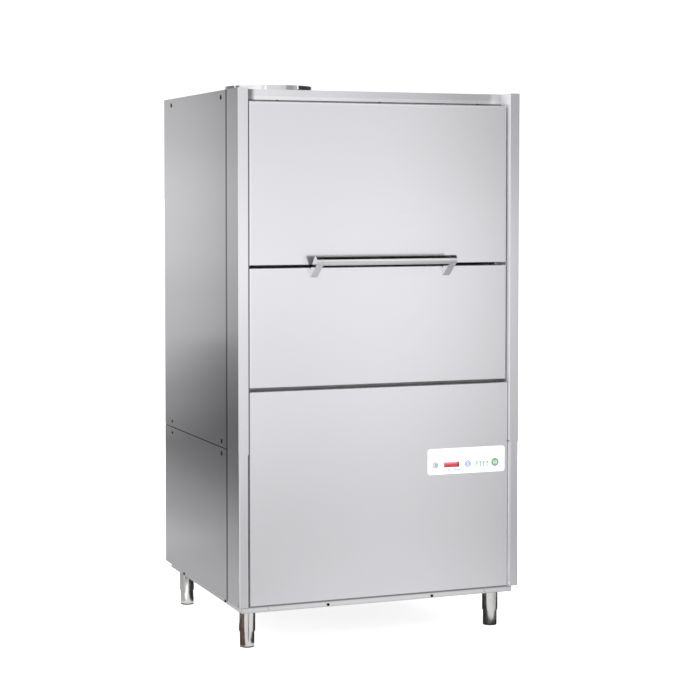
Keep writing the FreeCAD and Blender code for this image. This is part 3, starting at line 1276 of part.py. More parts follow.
def pump_impeller():
    """Back disc with curved blades that sweep away from the direction of turning."""
    cy = PUMP_Y
    x = VOLUTE_WIDTH / 2 - VOLUTE_WALL - IMPELLER_GAP
    hub_radius = SHAFT_RADIUS + IMPELLER_HUB_WALL
    disc = rod(x - IMPELLER_DISC, cy, PUMP_Z, X_AXIS, IMPELLER_RADIUS, IMPELLER_DISC)
    hub = rod(x - IMPELLER_WIDTH, cy, PUMP_Z, X_AXIS, hub_radius, IMPELLER_WIDTH)
    shaft = rod(x - IMPELLER_DISC - 2, cy, PUMP_Z, X_AXIS, SHAFT_RADIUS, SHAFT_LENGTH)
    blades = []
    inner = hub_radius - 2
    for i in range(BLADE_COUNT):
        blade = blade_face(inner, IMPELLER_RADIUS - 1).extrude(Vec(IMPELLER_WIDTH - IMPELLER_DISC + 1, 0, 0))
        blade.rotate(Vec(0, 0, 0), X_AXIS, i * 360 / BLADE_COUNT)
        blade.translate(Vec(x - IMPELLER_WIDTH, cy, PUMP_Z))
        blades.append(blade)
    return disc.multiFuse([hub, shaft] + blades).removeSplitter()


def blade_face(inner, outer):
    """Crescent blade section between two radii, bounded by two arcs."""

    def at(radius, degrees):
        angle = math.radians(degrees)
        return Vec(0, radius * math.cos(angle), radius * math.sin(angle))

    def thick(radius):
        return math.degrees(BLADE_THICKNESS / radius)

    middle = (inner + outer) / 2
    middle_turn = BLADE_SWEEP * 0.36
    near = at(inner, 0)
    far = at(outer, BLADE_SWEEP)
    far_edge = at(outer, BLADE_SWEEP + thick(outer))
    near_edge = at(inner, thick(inner))
    first = Part.Arc(near, at(middle, middle_turn), far).toShape()
    second = Part.Arc(far_edge, at(middle, middle_turn + thick(middle)), near_edge).toShape()
    return Part.Face(Part.Wire([first, Part.makeLine(far, far_edge), second, Part.makeLine(near_edge, near)]))


def pump_motor():
    cy = PUMP_Y
    x = VOLUTE_WIDTH / 2
    core = MOTOR_RADIUS - MOTOR_FIN_DEPTH
    fan_x = x + MOTOR_LENGTH - MOTOR_FAN_COVER
    parts = [rod(x, cy, PUMP_Z, X_AXIS, MOTOR_RADIUS, MOTOR_FLANGE)]
    parts.append(rod(fan_x, cy, PUMP_Z, X_AXIS, MOTOR_RADIUS, MOTOR_FAN_COVER))
    half = MOTOR_FIN_WIDTH / 2
    for i in range(MOTOR_FIN_COUNT):
        fin = box((x + MOTOR_FLANGE - 1, fan_x + 1), (-half, half), (core - 4, MOTOR_RADIUS))
        fin.rotate(Vec(0, 0, 0), X_AXIS, (i + 0.5) * 360 / MOTOR_FIN_COUNT)
        fin.translate(Vec(0, cy, PUMP_Z))
        parts.append(fin)
    box_xs = (x + MOTOR_BOX[0], x + MOTOR_BOX[1])
    box_zs = (PUMP_Z + core - MOTOR_FLANGE, PUMP_Z + MOTOR_RADIUS + MOTOR_BOX_RISE)
    parts.append(box(box_xs, (cy - MOTOR_BOX_HALF, cy + MOTOR_BOX_HALF), box_zs))
    for rail_x in MOTOR_RAIL_X:
        for width, reach, top in (
            (MOTOR_FOOT_WIDTH, MOTOR_FOOT_HALF, BODY_BOTTOM + MOTOR_FOOT_HEIGHT),
            (MOTOR_WEB_WIDTH, MOTOR_WEB_HALF, PUMP_Z - MOTOR_RADIUS / 2),
        ):
            xs = (rail_x - width / 2, rail_x + width / 2)
            parts.append(box(xs, (cy - reach, cy + reach), (BODY_BOTTOM, top)))
    body = rod(x, cy, PUMP_Z, X_AXIS, core, MOTOR_LENGTH)
    motor = body.multiFuse(parts).removeSplitter()
    return motor.cut(rod(x - 1, cy, PUMP_Z, X_AXIS, SHAFT_RADIUS + RUN_FIT, SHAFT_LENGTH))


def suction_elbow():
    cy = PUMP_Y
    end = -VOLUTE_WIDTH / 2 - INLET_STUB
    top = tank_floor_z(cy) + TANK_WALL
    corner = Vec(SUMP_X, cy, PUMP_Z)
    outer = pipe([Vec(SUMP_X, cy, top), corner, Vec(end, cy, PUMP_Z)], INLET_RADIUS, ELBOW_BEND)
    bore = [Vec(SUMP_X, cy, top + 1), corner, Vec(end + 1, cy, PUMP_Z)]
    return outer.cut(pipe(bore, INLET_RADIUS - ELBOW_WALL, ELBOW_BEND))


# Boiler and services
def full_circles(solid):
    return [e for e in solid.Edges if len(e.Vertexes) == 1]


def boiler():
    x = BOILER_X
    y = BOILER_Y
    wall = BOILER_WALL
    height = BOILER_TOP_Z - BOILER_BOTTOM_Z
    body = rod(x, y, BOILER_BOTTOM_Z, Z_AXIS, BOILER_RADIUS, height)
    body = body.makeFillet(BOILER_CROWN, full_circles(body))
    room = rod(x, y, BOILER_BOTTOM_Z + wall, Z_AXIS, BOILER_RADIUS - wall, height - 2 * wall)
    room = room.makeFillet(BOILER_CROWN - wall, full_circles(room))
    skirt_height = BOILER_BOTTOM_Z - BODY_BOTTOM
    skirt = rod(x, y, BODY_BOTTOM, Z_AXIS, SKIRT_RADIUS, skirt_height + 1)
    skirt = skirt.cut(rod(x, y, BODY_BOTTOM - 1, Z_AXIS, SKIRT_RADIUS - wall, skirt_height + 3))
    parts = [skirt]
    neck_radius = BOILER_FLANGE_RADIUS - BOILER_NECK
    holes = [rod(x, y, BOILER_TOP_Z - BOILER_CROWN, Z_AXIS, neck_radius, 2 * BOILER_CROWN)]
    for start, axis in boiler_ports():
        foot = start - axis * PORT_WALL
        inside = foot - axis * PORT_WALL
        parts.append(rod(*foot, axis, RINSE_PIPE_RADIUS + PORT_WALL, PORT_LENGTH + PORT_WALL))
        holes.append(rod(*inside, axis, RINSE_PIPE_RADIUS + SEAT, 2 * PORT_LENGTH))
    return body.cut(room).multiFuse(parts).removeSplitter().cut(Part.makeCompound(holes))


def boiler_ports():
    """Points on the boiler wall where the hot and the cold pipe meet it, with their directions."""
    hot = Vec(BOILER_X, BOILER_Y + HOT_PORT_FROM_AXIS, BOILER_TOP_Z)
    cold = Vec(BOILER_X + BOILER_RADIUS, BOILER_Y, BOILER_BOTTOM_Z + COLD_PORT_RISE)
    return [(hot, Z_AXIS), (cold, X_AXIS)]


def boiler_heater():
    top = BOILER_TOP_Z
    low = BOILER_BOTTOM_Z + COLD_PORT_RISE
    half = BOILER_ELEMENT_HALF
    flange = rod(BOILER_X, BOILER_Y, top, Z_AXIS, BOILER_FLANGE_RADIUS, HEATER_FLANGE)
    parts = []
    for i in range(3):
        angle = math.radians(30 + i * 120)
        x = BOILER_X + BOILER_ELEMENT_RING * math.cos(angle)
        y = BOILER_Y + BOILER_ELEMENT_RING * math.sin(angle)
        start = top + HEATER_FLANGE / 2
        for end in (-half, half):
            parts.append(rod(x + end, y, start, Z_AXIS, BOILER_TERMINAL_RADIUS, BOILER_TERMINAL))
        points = [Vec(x - half, y, start), Vec(x - half, y, low)]
        points += [Vec(x + half, y, low), Vec(x + half, y, start)]
        parts.append(pipe(points, BOILER_ELEMENT_RADIUS, half - 0.5))
    return flange.multiFuse(parts)


def rinse_pipes():
    """Cold feed to the boiler and hot feed to the arm hubs."""
    (hot_start, up), (cold_start, right) = boiler_ports()
    level = hot_start.z + HOT_PIPE_RISE
    join_y = CENTRE_Y + RINSE_JOIN_FROM_CENTRE
    hot = [
        hot_start,
        hot_start + up * HOT_PIPE_RISE,
        Vec(BOILER_X, RISER_Y, level),
        Vec(BOILER_X, RISER_Y, UPPER_FEED_Z),
        Vec(RINSE_JOIN_X, RISER_Y, UPPER_FEED_Z),
        Vec(RINSE_JOIN_X, join_y, UPPER_FEED_Z),
        Vec(-RISER_RADIUS, join_y, UPPER_FEED_Z),
    ]
    cold = [
        cold_start,
        Vec(INLET_X, BOILER_Y, cold_start.z),
        Vec(INLET_X, INLET_Y, cold_start.z),
        Vec(INLET_X, INLET_Y, INLET_VALVE_TOP),
    ]
    return [pipe(points, RINSE_PIPE_RADIUS, RINSE_PIPE_BEND) for points in (hot, cold)]


def inlet_valve():
    x = INLET_X
    y = INLET_Y
    low = PLATE_Z - INLET_SPIGOT
    seat_z = PLATE_Z + RAIL_WALL
    top_z = seat_z + INLET_BODY_HEIGHT
    body = rod(x, y, seat_z, Z_AXIS, INLET_BODY_RADIUS, INLET_BODY_HEIGHT)
    thread = rod(x, y, low, Z_AXIS, INLET_THREAD_RADIUS, INLET_SPIGOT + 1)
    neck = rod(x, y, PLATE_Z, Z_AXIS, INLET_NECK_RADIUS, RAIL_WALL + 1)
    top = rod(x, y, top_z, Z_AXIS, INLET_TOP_RADIUS, INLET_VALVE_TOP - top_z)
    coil = rod(x, y, seat_z + INLET_BODY_HEIGHT / 2, X_AXIS, INLET_COIL_RADIUS, INLET_COIL_REACH)
    bore = rod(x, y, low - 1, Z_AXIS, INLET_BORE_RADIUS, INLET_SPIGOT + INLET_NECK_RADIUS)
    return body.multiFuse([thread, neck, top, coil]).removeSplitter().cut(bore)


def drain_valve():
    x = DRAIN_X
    y = DRAIN_Y
    low = PLATE_Z - DRAIN_SPIGOT
    top = tank_floor_z(y) + TANK_WALL
    coil_z = DRAIN_BODY_Z + DRAIN_BODY_HEIGHT / 2
    tube = rod(x, y, PLATE_Z, Z_AXIS, DRAIN_TUBE_RADIUS, top - PLATE_Z)
    spigot = rod(x, y, low, Z_AXIS, DRAIN_RADIUS, DRAIN_SPIGOT + 1)
    body = rod(x, y, DRAIN_BODY_Z, Z_AXIS, DRAIN_BODY_RADIUS, DRAIN_BODY_HEIGHT)
    coil = rod(x + DRAIN_TUBE_RADIUS, y, coil_z, X_AXIS, DRAIN_COIL_RADIUS, DRAIN_COIL_LENGTH)
    ring = rod(x, y, PLATE_Z + RAIL_WALL, Z_AXIS, DRAIN_TUBE_RADIUS + DRAIN_RING, DRAIN_RING_HEIGHT)
    solid = tube.multiFuse([spigot, body, coil, ring]).removeSplitter()
    return solid.cut(rod(x, y, low - 1, Z_AXIS, DRAIN_RADIUS - DRAIN_WALL, top - low + 2))


def cable_gland():
    x = GLAND_X
    y = INLET_Y
    bore = GLAND_BORE_RADIUS
    low = PLATE_Z - GLAND_DROP
    top = PLATE_Z + RAIL_WALL + GLAND_LOCK
    cap_top = low + GLAND_CAP
    neck = rod(x, y, low, Z_AXIS, bore + GLAND_WALL, top - low + GLAND_LOCK)
    cap = Part.makeCone(GLAND_RADIUS - GLAND_WALL, GLAND_RADIUS, GLAND_CAP, Vec(x, y, low), Z_AXIS)
    nut = rod(x, y, cap_top, Z_AXIS, GLAND_RADIUS, PLATE_Z - cap_top)
    lock = rod(x, y, PLATE_Z + RAIL_WALL, Z_AXIS, GLAND_RADIUS, GLAND_LOCK)
    room = rod(x, y, low - 1, Z_AXIS, bore, top - low + GLAND_LOCK + 2)
    return neck.multiFuse([cap, nut, lock]).removeSplitter().cut(room)


# Fasteners
def screw(x, y, z, axis, radius, height):
    """Round head that stands on a surface and faces along its axis."""
    head = rod(x, y, z, axis, radius, height)
    base = Vec(x, y, z)
    tops = [e for e in head.Edges if len(e.Vertexes) == 1 and (e.CenterOfMass - base).Length > height / 2]
    return head.makeFillet(height * 0.45, tops)


def fasteners():
    solids = []
    ys = (FRONT + COLUMN_DEPTH + SCREW_FROM_SEAM, BACK - SCREW_FROM_BACK)
    zs = (BODY_TOP - SCREW_FROM_TOP, PANEL_SPLIT_Z + SCREW_FROM_SPLIT, PANEL_SPLIT_Z - SCREW_FROM_SPLIT)
    for y in ys:
        for z in zs:
            solids += both_sides(screw(HALF_WIDTH, y, z, X_AXIS, SCREW_RADIUS, SCREW_HEIGHT))
    for i in (-1, 0, 1):
        x = FASCIA_SCREW_X + i * FASCIA_SCREW_PITCH
        z = BODY_TOP - FASCIA_SCREW_DROP
        solids.append(screw(x, CHAMBER_FRONT, z, Vec(0, -1, 0), SCREW_RADIUS, SCREW_HEIGHT))
    back_x = HALF_WIDTH - RETURN_WIDTH - BACK_SCREW_INSET
    for z in zs + ((BODY_TOP + PANEL_SPLIT_Z) / 2, BODY_BOTTOM + SCREW_FROM_TOP):
        solids += both_sides(screw(back_x, BACK - SHEET, z, Y_AXIS, SCREW_RADIUS, SHEET))
    rail_z = BODY_BOTTOM - RAIL_HEIGHT / 2 - BOLT_BELOW_MIDDLE
    for x in (-RAIL_BOLT_X, RAIL_BOLT_X):
        solids.append(screw(x, DOOR_FRONT, rail_z, Vec(0, -1, 0), BOLT_RADIUS, BOLT_HEIGHT))
        solids.append(screw(x, BACK - RAIL_INSET, rail_z, Y_AXIS, BOLT_RADIUS, BOLT_HEIGHT))
    for y in (FRONT + COLUMN_DEPTH + RAIL_BOLT_FROM_SEAM, BACK - RAIL_BOLT_FROM_BACK):
        solids += both_sides(screw(HALF_WIDTH - RAIL_INSET, y, rail_z, X_AXIS, BOLT_RADIUS, BOLT_HEIGHT))
    return solids


os.makedirs("parts", exist_ok=True)

save("base_frame", base_frame())
save("leg_sleeves", leg_sleeves())
for corner, place in leg_places().items():
    save("foot_" + corner, foot(place[0], place[1]))

upper_zs = (PANEL_SPLIT_Z + PANEL_GAP / 2, BODY_TOP)
lower_zs = (BODY_BOTTOM, PANEL_SPLIT_Z - PANEL_GAP / 2)
for level, heights in (("upper", upper_zs), ("lower", lower_zs)):
    right, left = both_sides(side_panel(heights))
    save("side_panel_" + level + "_right", right)
    save("side_panel_" + level + "_left", left)
columns = []
for section in column():
    columns += both_sides(section)
save("columns", columns)
save("top_fascia", top_fascia())
save("roof_panel", roof_panel())
save("exhaust_collar", exhaust_collar())
save("back_panels", back_panels())

save("service_panel", service_panel())
save("control_membrane", control_membrane())
for name, place in key_places().items():
    save(name, key(place))
save("display_window", display_window())
save("cycle_lights", cycle_lights())
save("control_box", control_box())
save("dosing_pumps", dosing_pumps())

lower_door_zs = (LOWER_DOOR_BOTTOM, LOWER_DOOR_TOP)
upper_door_zs = (UPPER_DOOR_BOTTOM, UPPER_DOOR_TOP)
save("lower_door_skin", door_skin(lower_door_zs, [PIVOT_Z], PIN_RADIUS + SEAT))
save("lower_door_liner", door_liner(lower_door_zs, [PIVOT_Z], PIN_RADIUS + SEAT))
pin_zs = [UPPER_DOOR_BOTTOM + height for height in DOOR_PIN_HEIGHTS]
save("upper_door_skin", door_skin(upper_door_zs, pin_zs, DOOR_PIN_RADIUS + SEAT))
save("upper_door_liner", door_liner(upper_door_zs, pin_zs, DOOR_PIN_RADIUS + SEAT))
save("hinge_levers", hinge_levers())
save("hinge_bushes", hinge_bushes())
save("lift_carriages", lift_carriages())
save("door_guides", door_guides())
save("handle_bar", handle_bar())
save("handle_brackets", handle_brackets())

save("wash_chamber", wash_chamber())
save("door_frame", door_frame())
save("door_seal", door_seal())
save("wash_tank", wash_tank())
save("tank_filters", tank_filters())
save("overflow_pipe", overflow_pipe())
save("tank_heater", tank_heater())
save("rack_rails", rack_rails())
save("rack", rack())

wash_z, rinse_z, nut_z = arm_levels()
save("lower_wash_arm", wash_arm(wash_z, True))
save("lower_rinse_arm", rinse_arm(rinse_z, True))
save("upper_wash_arm", wash_arm(UPPER_ARM_Z, False))
save("upper_rinse_arm", rinse_arm(UPPER_ARM_Z - rinse_z + wash_z, False))
save("arm_nuts", arm_nuts())
save("wash_manifold", wash_manifold())

save("pump_casing", pump_casing())
save("pump_impeller", pump_impeller())
save("pump_motor", pump_motor())
save("suction_elbow", suction_elbow())
save("boiler", boiler())
save("boiler_heater", boiler_heater())
save("rinse_pipes", rinse_pipes())
save("inlet_valve", inlet_valve())
save("drain_valve", drain_valve())
save("cable_gland", cable_gland())
save("fasteners", fasteners())
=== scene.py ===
import math

import bmesh
import bpy
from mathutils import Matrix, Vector


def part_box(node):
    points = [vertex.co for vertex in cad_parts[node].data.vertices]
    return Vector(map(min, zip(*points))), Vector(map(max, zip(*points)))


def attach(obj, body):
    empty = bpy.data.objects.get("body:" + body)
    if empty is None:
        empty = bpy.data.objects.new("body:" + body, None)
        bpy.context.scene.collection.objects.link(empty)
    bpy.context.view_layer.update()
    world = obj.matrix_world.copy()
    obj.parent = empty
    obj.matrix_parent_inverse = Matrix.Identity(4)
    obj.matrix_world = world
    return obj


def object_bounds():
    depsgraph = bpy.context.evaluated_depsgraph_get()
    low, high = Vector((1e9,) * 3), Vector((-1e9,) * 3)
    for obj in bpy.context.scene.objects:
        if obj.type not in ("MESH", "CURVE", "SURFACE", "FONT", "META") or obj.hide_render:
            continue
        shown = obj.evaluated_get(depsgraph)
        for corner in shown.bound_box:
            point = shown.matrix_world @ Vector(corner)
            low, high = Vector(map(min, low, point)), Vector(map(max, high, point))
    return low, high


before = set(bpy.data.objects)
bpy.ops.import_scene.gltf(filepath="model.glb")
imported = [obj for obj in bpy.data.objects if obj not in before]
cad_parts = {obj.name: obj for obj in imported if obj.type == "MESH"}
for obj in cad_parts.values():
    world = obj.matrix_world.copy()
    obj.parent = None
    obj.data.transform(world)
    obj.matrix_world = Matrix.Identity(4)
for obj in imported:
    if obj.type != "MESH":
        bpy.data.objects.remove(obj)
cad_low, cad_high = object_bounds()

# Lengths are in metres and angles in degrees. The front faces -Y and Z is up.
FULL_TURN = 360.0

# Corners of the CAD nodes that shades and added pieces follow
columns_low, columns_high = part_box("columns")
upper_side_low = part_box("side_panel_upper_right")[0]
lower_side_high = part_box("side_panel_lower_right")[1]
fascia_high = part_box("top_fascia")[1]
upper_door_low, upper_door_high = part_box("upper_door_skin")
lower_door_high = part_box("lower_door_skin")[1]
panel_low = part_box("service_panel")[0]
rail_low, rail_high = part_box("base_frame")
window_low, window_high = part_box("display_window")
lights_low, lights_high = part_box("cycle_lights")
film_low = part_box("control_membrane")[0]

# Camera at the photograph's viewing angle
CAMERA_PLACE = (-2.4408, -6.2975, 1.5332)
CAMERA_YAW = 21.2354
CAMERA_PITCH = 2.3184
CAMERA_LENS_MM = 98.4411
CAMERA_SENSOR_MM = 36.0
CAMERA_SHIFT_Y = -0.10

# World, brighter above the horizon than below it
WORLD_BELOW = 0.79
WORLD_ABOVE = 1.10
HORIZON = (-0.10, 0.0)

# Lamp
LAMP_PLACE = (-4.0, -4.5, 4.2)
LAMP_AIM = (0.0, 0.0, 1.0)
LAMP_SIZE = 3.0
LAMP_POWER = 60.0

# Floor of pale paper
FLOOR_HALF = 2000.0
FLOOR_TONE = 0.93
FLOOR_GLOW = 0.80
FLOOR_ROUGHNESS = 0.9

# Studio cards
REAR_CARD_Y = 5.2
FRONT_CARD_Y = -6.6
FRONT_FLAG_GAP = 0.1
FRONT_FLAG_Y = FRONT_CARD_Y + FRONT_FLAG_GAP
SIDE_CARD_X = (-6.0, -0.9)
SIDE_CARD_SPLIT = 0.6
SIDE_CARD_TOP = 3.4
SIDE_STRIP_X = (-6.0, -0.53)
SIDE_STRIP_START = 0.15
FRONT_CARD_X = (-5.0, 9.0)
FRONT_CARD_TOP = 4.5
FRONT_STRIP_X = (-1.6, 1.4)
FRONT_STRIP_Y = (-7.2, -0.7)
FRONT_STRIP_TURN = 22.6
STRIP_LIFT = 0.001
FLAG_LIFT = 0.002
SPOT_LIFT = 0.003
FLAG_BROWN = (0.09, 0.055, 0.038)

# Glow of the cards: axis, from, to, and (place, brightness) stops along the way.
# A card's glow is the product of its lines.
SIDE_GLOW_UP = (0.05, 2.68)
SIDE_GLOW_ACROSS = (-2.45, -1.8)
SIDE_HIGH_GLOW = (
    ("Z", *SIDE_GLOW_UP, (
        (0.0, 0.40), (0.22, 0.60), (0.32, 0.64), (0.44, 0.74),
        (0.57, 0.76), (0.76, 0.61), (0.86, 0.50), (1.0, 0.42),
    )),
    ("X", *SIDE_GLOW_ACROSS, (
        (0.0, 0.45), (0.24, 0.64), (0.33, 0.84), (0.45, 0.90), (1.0, 1.0),
    )),
)
SIDE_LOW_GLOW = (
    ("Z", *SIDE_GLOW_UP, ((0.0, 0.29), (0.07, 0.38), (0.22, 0.61), (1.0, 0.61))),
    ("X", *SIDE_GLOW_ACROSS, ((0.0, 0.26), (0.30, 0.34), (0.60, 0.72), (1.0, 1.0))),
)
SIDE_STRIP_GLOW = (
    ("Y", -0.6, 5.2, (
        (0.0, 0.50), (0.31, 0.55), (0.41, 0.64), (0.54, 0.64),
        (0.70, 0.70), (0.87, 0.85), (1.0, 0.90),
    )),
    ("X", -2.3, -0.8, (
        (0.0, 0.12), (0.17, 0.145), (0.41, 0.24), (0.59, 0.446),
        (0.75, 0.58), (0.89, 0.79), (1.0, 0.86),
    )),
)
FRONT_CARD_GLOW = (
    ("Z", 0.04, 4.66, (
        (0.0, 1.00), (0.10, 1.05), (0.22, 1.22), (0.28, 1.12),
        (0.37, 0.97), (0.47, 0.88), (1.0, 0.86),
    )),
    ("X", 0.51, 4.61, (
        (0.0, 1.0), (0.24, 0.94), (0.28, 0.80), (0.36, 0.84), (0.46, 0.95),
        (0.55, 1.0), (0.64, 0.96), (0.73, 0.66), (0.80, 0.42),
    )),
)
FRONT_STRIP_GLOW = (
    ("Y", -7.0, -0.7, (
        (0.0, 0.86), (0.06, 0.85), (0.47, 0.75), (0.70, 0.67), (0.87, 0.72), (1.0, 0.76),
    )),
    ("X", *FRONT_STRIP_X, (
        (0.0, 1.0), (0.22, 1.0), (0.28, 0.78), (0.34, 0.86), (0.44, 0.98),
        (0.53, 0.99), (0.61, 0.89), (0.69, 0.68), (1.0, 0.40),
    )),
)

# Noise in the materials: scale, detail and roughness
GRAIN_NOISE = (1.0, 3.0, 0.6)
CLOUD_NOISE = (2.2, 3.0, 0.5)
SMUDGE_NOISE = (40.0, 4.0, 0.6)
PAPER_NOISE = (3.0, 2.0, 0.5)
SKIN_DETAIL = (2.0, 0.5)
NOISE_LOW = 0.3
NOISE_HIGH = 0.7

# Brushed grain: stretch of the noise along the grain and across it
GRAIN_ALONG = 6
GRAIN_ACROSS = 900

# Darkest tone that each noise gives, as a share of the colour
GRAIN_TONE = 0.99
CLOUD_TONE = 0.985
SMUDGE_TONE = 0.94
SKIN_TONE = 0.92
PAPER_TONE = 0.99

# How far the noise moves the roughness
SHEET_GLOSS = 0.03
SMUDGE_GLOSS = (0.03, 0.05)
SKIN_GLOSS = 0.05

# Bump: depth, and strength on brushed steel
BUMP_DEPTH = 0.0002
SHEET_BUMP = 0.006

# Skins of plastic: noise scale and bump strength
MOULDED_SKIN = (900.0, 0.06)
FILM_SKIN = (2500.0, 0.03)
LIGHT_SKIN = (2500.0, 0.01)
WINDOW_SKIN = (1200.0, 0.01)

# Faces that added pieces sit on
SIDE_FACE = columns_high.x
COLUMN_FRONT = columns_low.y
COLUMN_INNER = fascia_high.x
RAIL_FRONT = rail_low.y

# The right column's inner face mirrors less than its front: how far outside that
# face the change starts and ends, share of metal on the way, and where the right
# half of the machine begins
INNER_FACE_REACH = (0.0002, 0.0008)
INNER_FACE_METAL = ((0.0, 0.15), (1.0, 1.0))
RIGHT_HALF = (-0.01, 0.01)

# How far the painted shades and highlights reach from the edges of their sheets
TOP_BEND_REACH = 0.015
SEAM_BEND_REACH = (0.011, 0.013)
LEFT_BEND_REACH = 0.016
RIGHT_BEND_REACH = 0.014
PANEL_EDGE_REACH = 0.016
FASCIA_END_REACH = 0.004
COLUMN_EDGE_REACH = (0.014, 0.006)
SIDE_EDGE_REACH = 0.037

# Print on the control strip
PRINT_LIFT = 0.00012
PRINT_THICKNESS = 0.0001
RING_STEPS = 48

# Signs on the keys, in shares of a key's radius: rings are outer and inner
# radius, and bars are offset, width and height
SIGN_RING = (0.98, 0.80)
ARC_RING = (0.55, 0.36)
ARC_SWEEP = 130
KEY_SIGNS = (
    # key, body, material, bars, starts of the arcs
    ("power_key", "power_button", "print_grey", ((0.0, 0.26, 1.10), (0.45, 0.16, 0.80)), ()),
    ("program_key", "program_button", "print_violet", (), (20, 200)),
    ("start_key", "start_button", "print_green", (), ()),
)
START_BARS = ((-0.30, 0.24, 0.90), (0.30, 0.24, 0.90))

# Dashes under the display's two ends
MARK_DROP = 0.0090
MARK_START_LEFT = 0.002
MARK_START_RIGHT = 0.020
MARK_INSET = 0.003
MARK_PITCH = 0.0075
MARK_WIDTH = 0.0055
MARK_HEIGHTS = (0.0030, 0.0022, 0.0042)

# Stem under each light and cap over it: distance from the light, width and height
LIGHTS = 4
STEM = (0.0055, 0.0034, 0.0095)
CAP = (0.0012, 0.0105, 0.0022)

# Dark washers under the side screws, which also stand in for the shadow round each screw head
WASHER_STEPS = 24
WASHER_INNER = 0.0046
WASHER_OUTER = 0.0086
WASHER_THICK = 0.0012
WASHER_SHOULDER = (0.94, 0.7)
SCREW_HEAD_REACH = 0.0002
SCREW_HEAD_SPAN = 0.02
REAR_WASHER_FROM = 1.5

# Sheet behind the joints: from and to along Z, and how deep it lies under the faces
COLUMN_SPLIT_Z = 0.671
COLUMN_STRIP_HALF = 0.0018
COLUMN_JOINT = (COLUMN_SPLIT_Z - COLUMN_STRIP_HALF, COLUMN_SPLIT_Z + COLUMN_STRIP_HALF)
COLUMN_STRIP = (0.0003, 0.0013)
COLUMN_STRIP_EDGE = 0.0006
COLUMN_STRIP_DEPTH = 0.118
PANEL_OVERLAP = 0.0004
PANEL_JOINT = (lower_side_high.z - PANEL_OVERLAP, upper_side_low.z + PANEL_OVERLAP)
# The rear strips are dark: they stand in for the shade in the rear end of the side joint
REAR_STRIP_X = (0.020, 0.0012)
REAR_STRIP_Y = (0.080, 0.0005)
STRIP_BEVEL = 0.25

# Thin half rings on the front rail, at the inner edge of each corner box
CORNER_BOX = 0.100
CORNER_ARC_X = rail_high.x - CORNER_BOX
CORNER_ARC_RISE = 0.0115
CORNER_ARC_Z = rail_low.z + CORNER_ARC_RISE
CORNER_ARC_RING = (0.0088, 0.0068)
CORNER_ARC_START = 175
CORNER_ARC_SWEEP = 190

# Rubber ring round the base of a foot, as (radius, height) points
PAD_STEPS = 48
PAD_PROFILE = (
    (0.0228, 0.0004), (0.0246, 0.0008), (0.0249, 0.0022),
    (0.0247, 0.0040), (0.0236, 0.0044), (0.0228, 0.0040),
)


# Shader nodes
def new_material(name, slot):
    material = bpy.data.materials.new(name)
    material.use_nodes = True
    tree = material.node_tree
    shader = tree.nodes["Principled BSDF"]
    material["record_slot"] = slot
    return material, tree, shader


def colour(tone):
    """Opaque colour from a brightness or from red, green and blue."""
    red, green, blue = tone if isinstance(tone, tuple) else (tone, tone, tone)
    return red, green, blue, 1


def object_point(tree, scale=(1, 1, 1)):
    """Object coordinates, stretched by a scale on each axis."""
    place = tree.nodes.new("ShaderNodeTexCoord")
    mapping = tree.nodes.new("ShaderNodeMapping")
    mapping.inputs["Scale"].default_value = scale
    tree.links.new(place.outputs["Object"], mapping.inputs["Vector"])
    return mapping.outputs["Vector"]


def noise(tree, vector, scale, detail, roughness):
    node = tree.nodes.new("ShaderNodeTexNoise")
    node.inputs["Scale"].default_value = scale
    node.inputs["Detail"].default_value = detail
    node.inputs["Roughness"].default_value = roughness
    tree.links.new(vector, node.inputs["Vector"])
    return node.outputs["Fac"]


def spread(tree, value, low, high, from_low=NOISE_LOW, from_high=NOISE_HIGH):
    """Value moved from one range into another."""
    node = tree.nodes.new("ShaderNodeMapRange")
    node.inputs["From Min"].default_value = from_low
    node.inputs["From Max"].default_value = from_high
    node.inputs["To Min"].default_value = low
    node.inputs["To Max"].default_value = high
    tree.links.new(value, node.inputs["Value"])
    return node.outputs["Result"]


def product(tree, first):
    """Mix node that multiplies the first value by whatever its input B gets."""
    node = tree.nodes.new("ShaderNodeMix")
    node.data_type = "RGBA"
    node.blend_type = "MULTIPLY"
    node.inputs["Factor"].default_value = 1.0
    tree.links.new(first, node.inputs["A"])
    return node


def times(tree, first, second):
    """First value times the second."""
    node = product(tree, first)
    tree.links.new(second, node.inputs["B"])
    return node.outputs["Result"]


def tinted(tree, value, tone):
    """Value times a constant colour."""
    node = product(tree, value)
    node.inputs["B"].default_value = colour(tone)
    return node.outputs["Result"]


def ramp(tree, value, stops):
    """Ramp through (place, brightness) or (place, colour) stops."""
    node = tree.nodes.new("ShaderNodeValToRGB")
    node.color_ramp.interpolation = "EASE"
    elements = node.color_ramp.elements
    while len(elements) < len(stops):
        elements.new(0.5)
    for element, (place, tone) in zip(elements, stops):
        element.position = place
        element.color = colour(tone)
    tree.links.new(value, node.inputs["Fac"])
    return node.outputs["Color"]


def along(tree, axis, low, high):
    """How far along one axis of the object's frame a point lies, from 0 to 1."""
    place = tree.nodes.new("ShaderNodeTexCoord")
    split = tree.nodes.new("ShaderNodeSeparateXYZ")
    tree.links.new(place.outputs["Object"], split.inputs["Vector"])
    return spread(tree, split.outputs[axis], 0.0, 1.0, low, high)


def shaded(tree, value, shades):
    """Value times the ramp of each shade. With no value, the ramps alone."""
    for axis, low, high, stops in shades:
        tone = ramp(tree, along(tree, axis, low, high), stops)
        value = times(tree, value, tone) if value else tone
    return value


def add_bump(tree, shader, height, strength):
    """Bump on the shader's normal."""
    node = tree.nodes.new("ShaderNodeBump")
    node.inputs["Strength"].default_value = strength
    node.inputs["Distance"].default_value = BUMP_DEPTH
    tree.links.new(height, node.inputs["Height"])
    tree.links.new(node.outputs["Normal"], shader.inputs["Normal"])


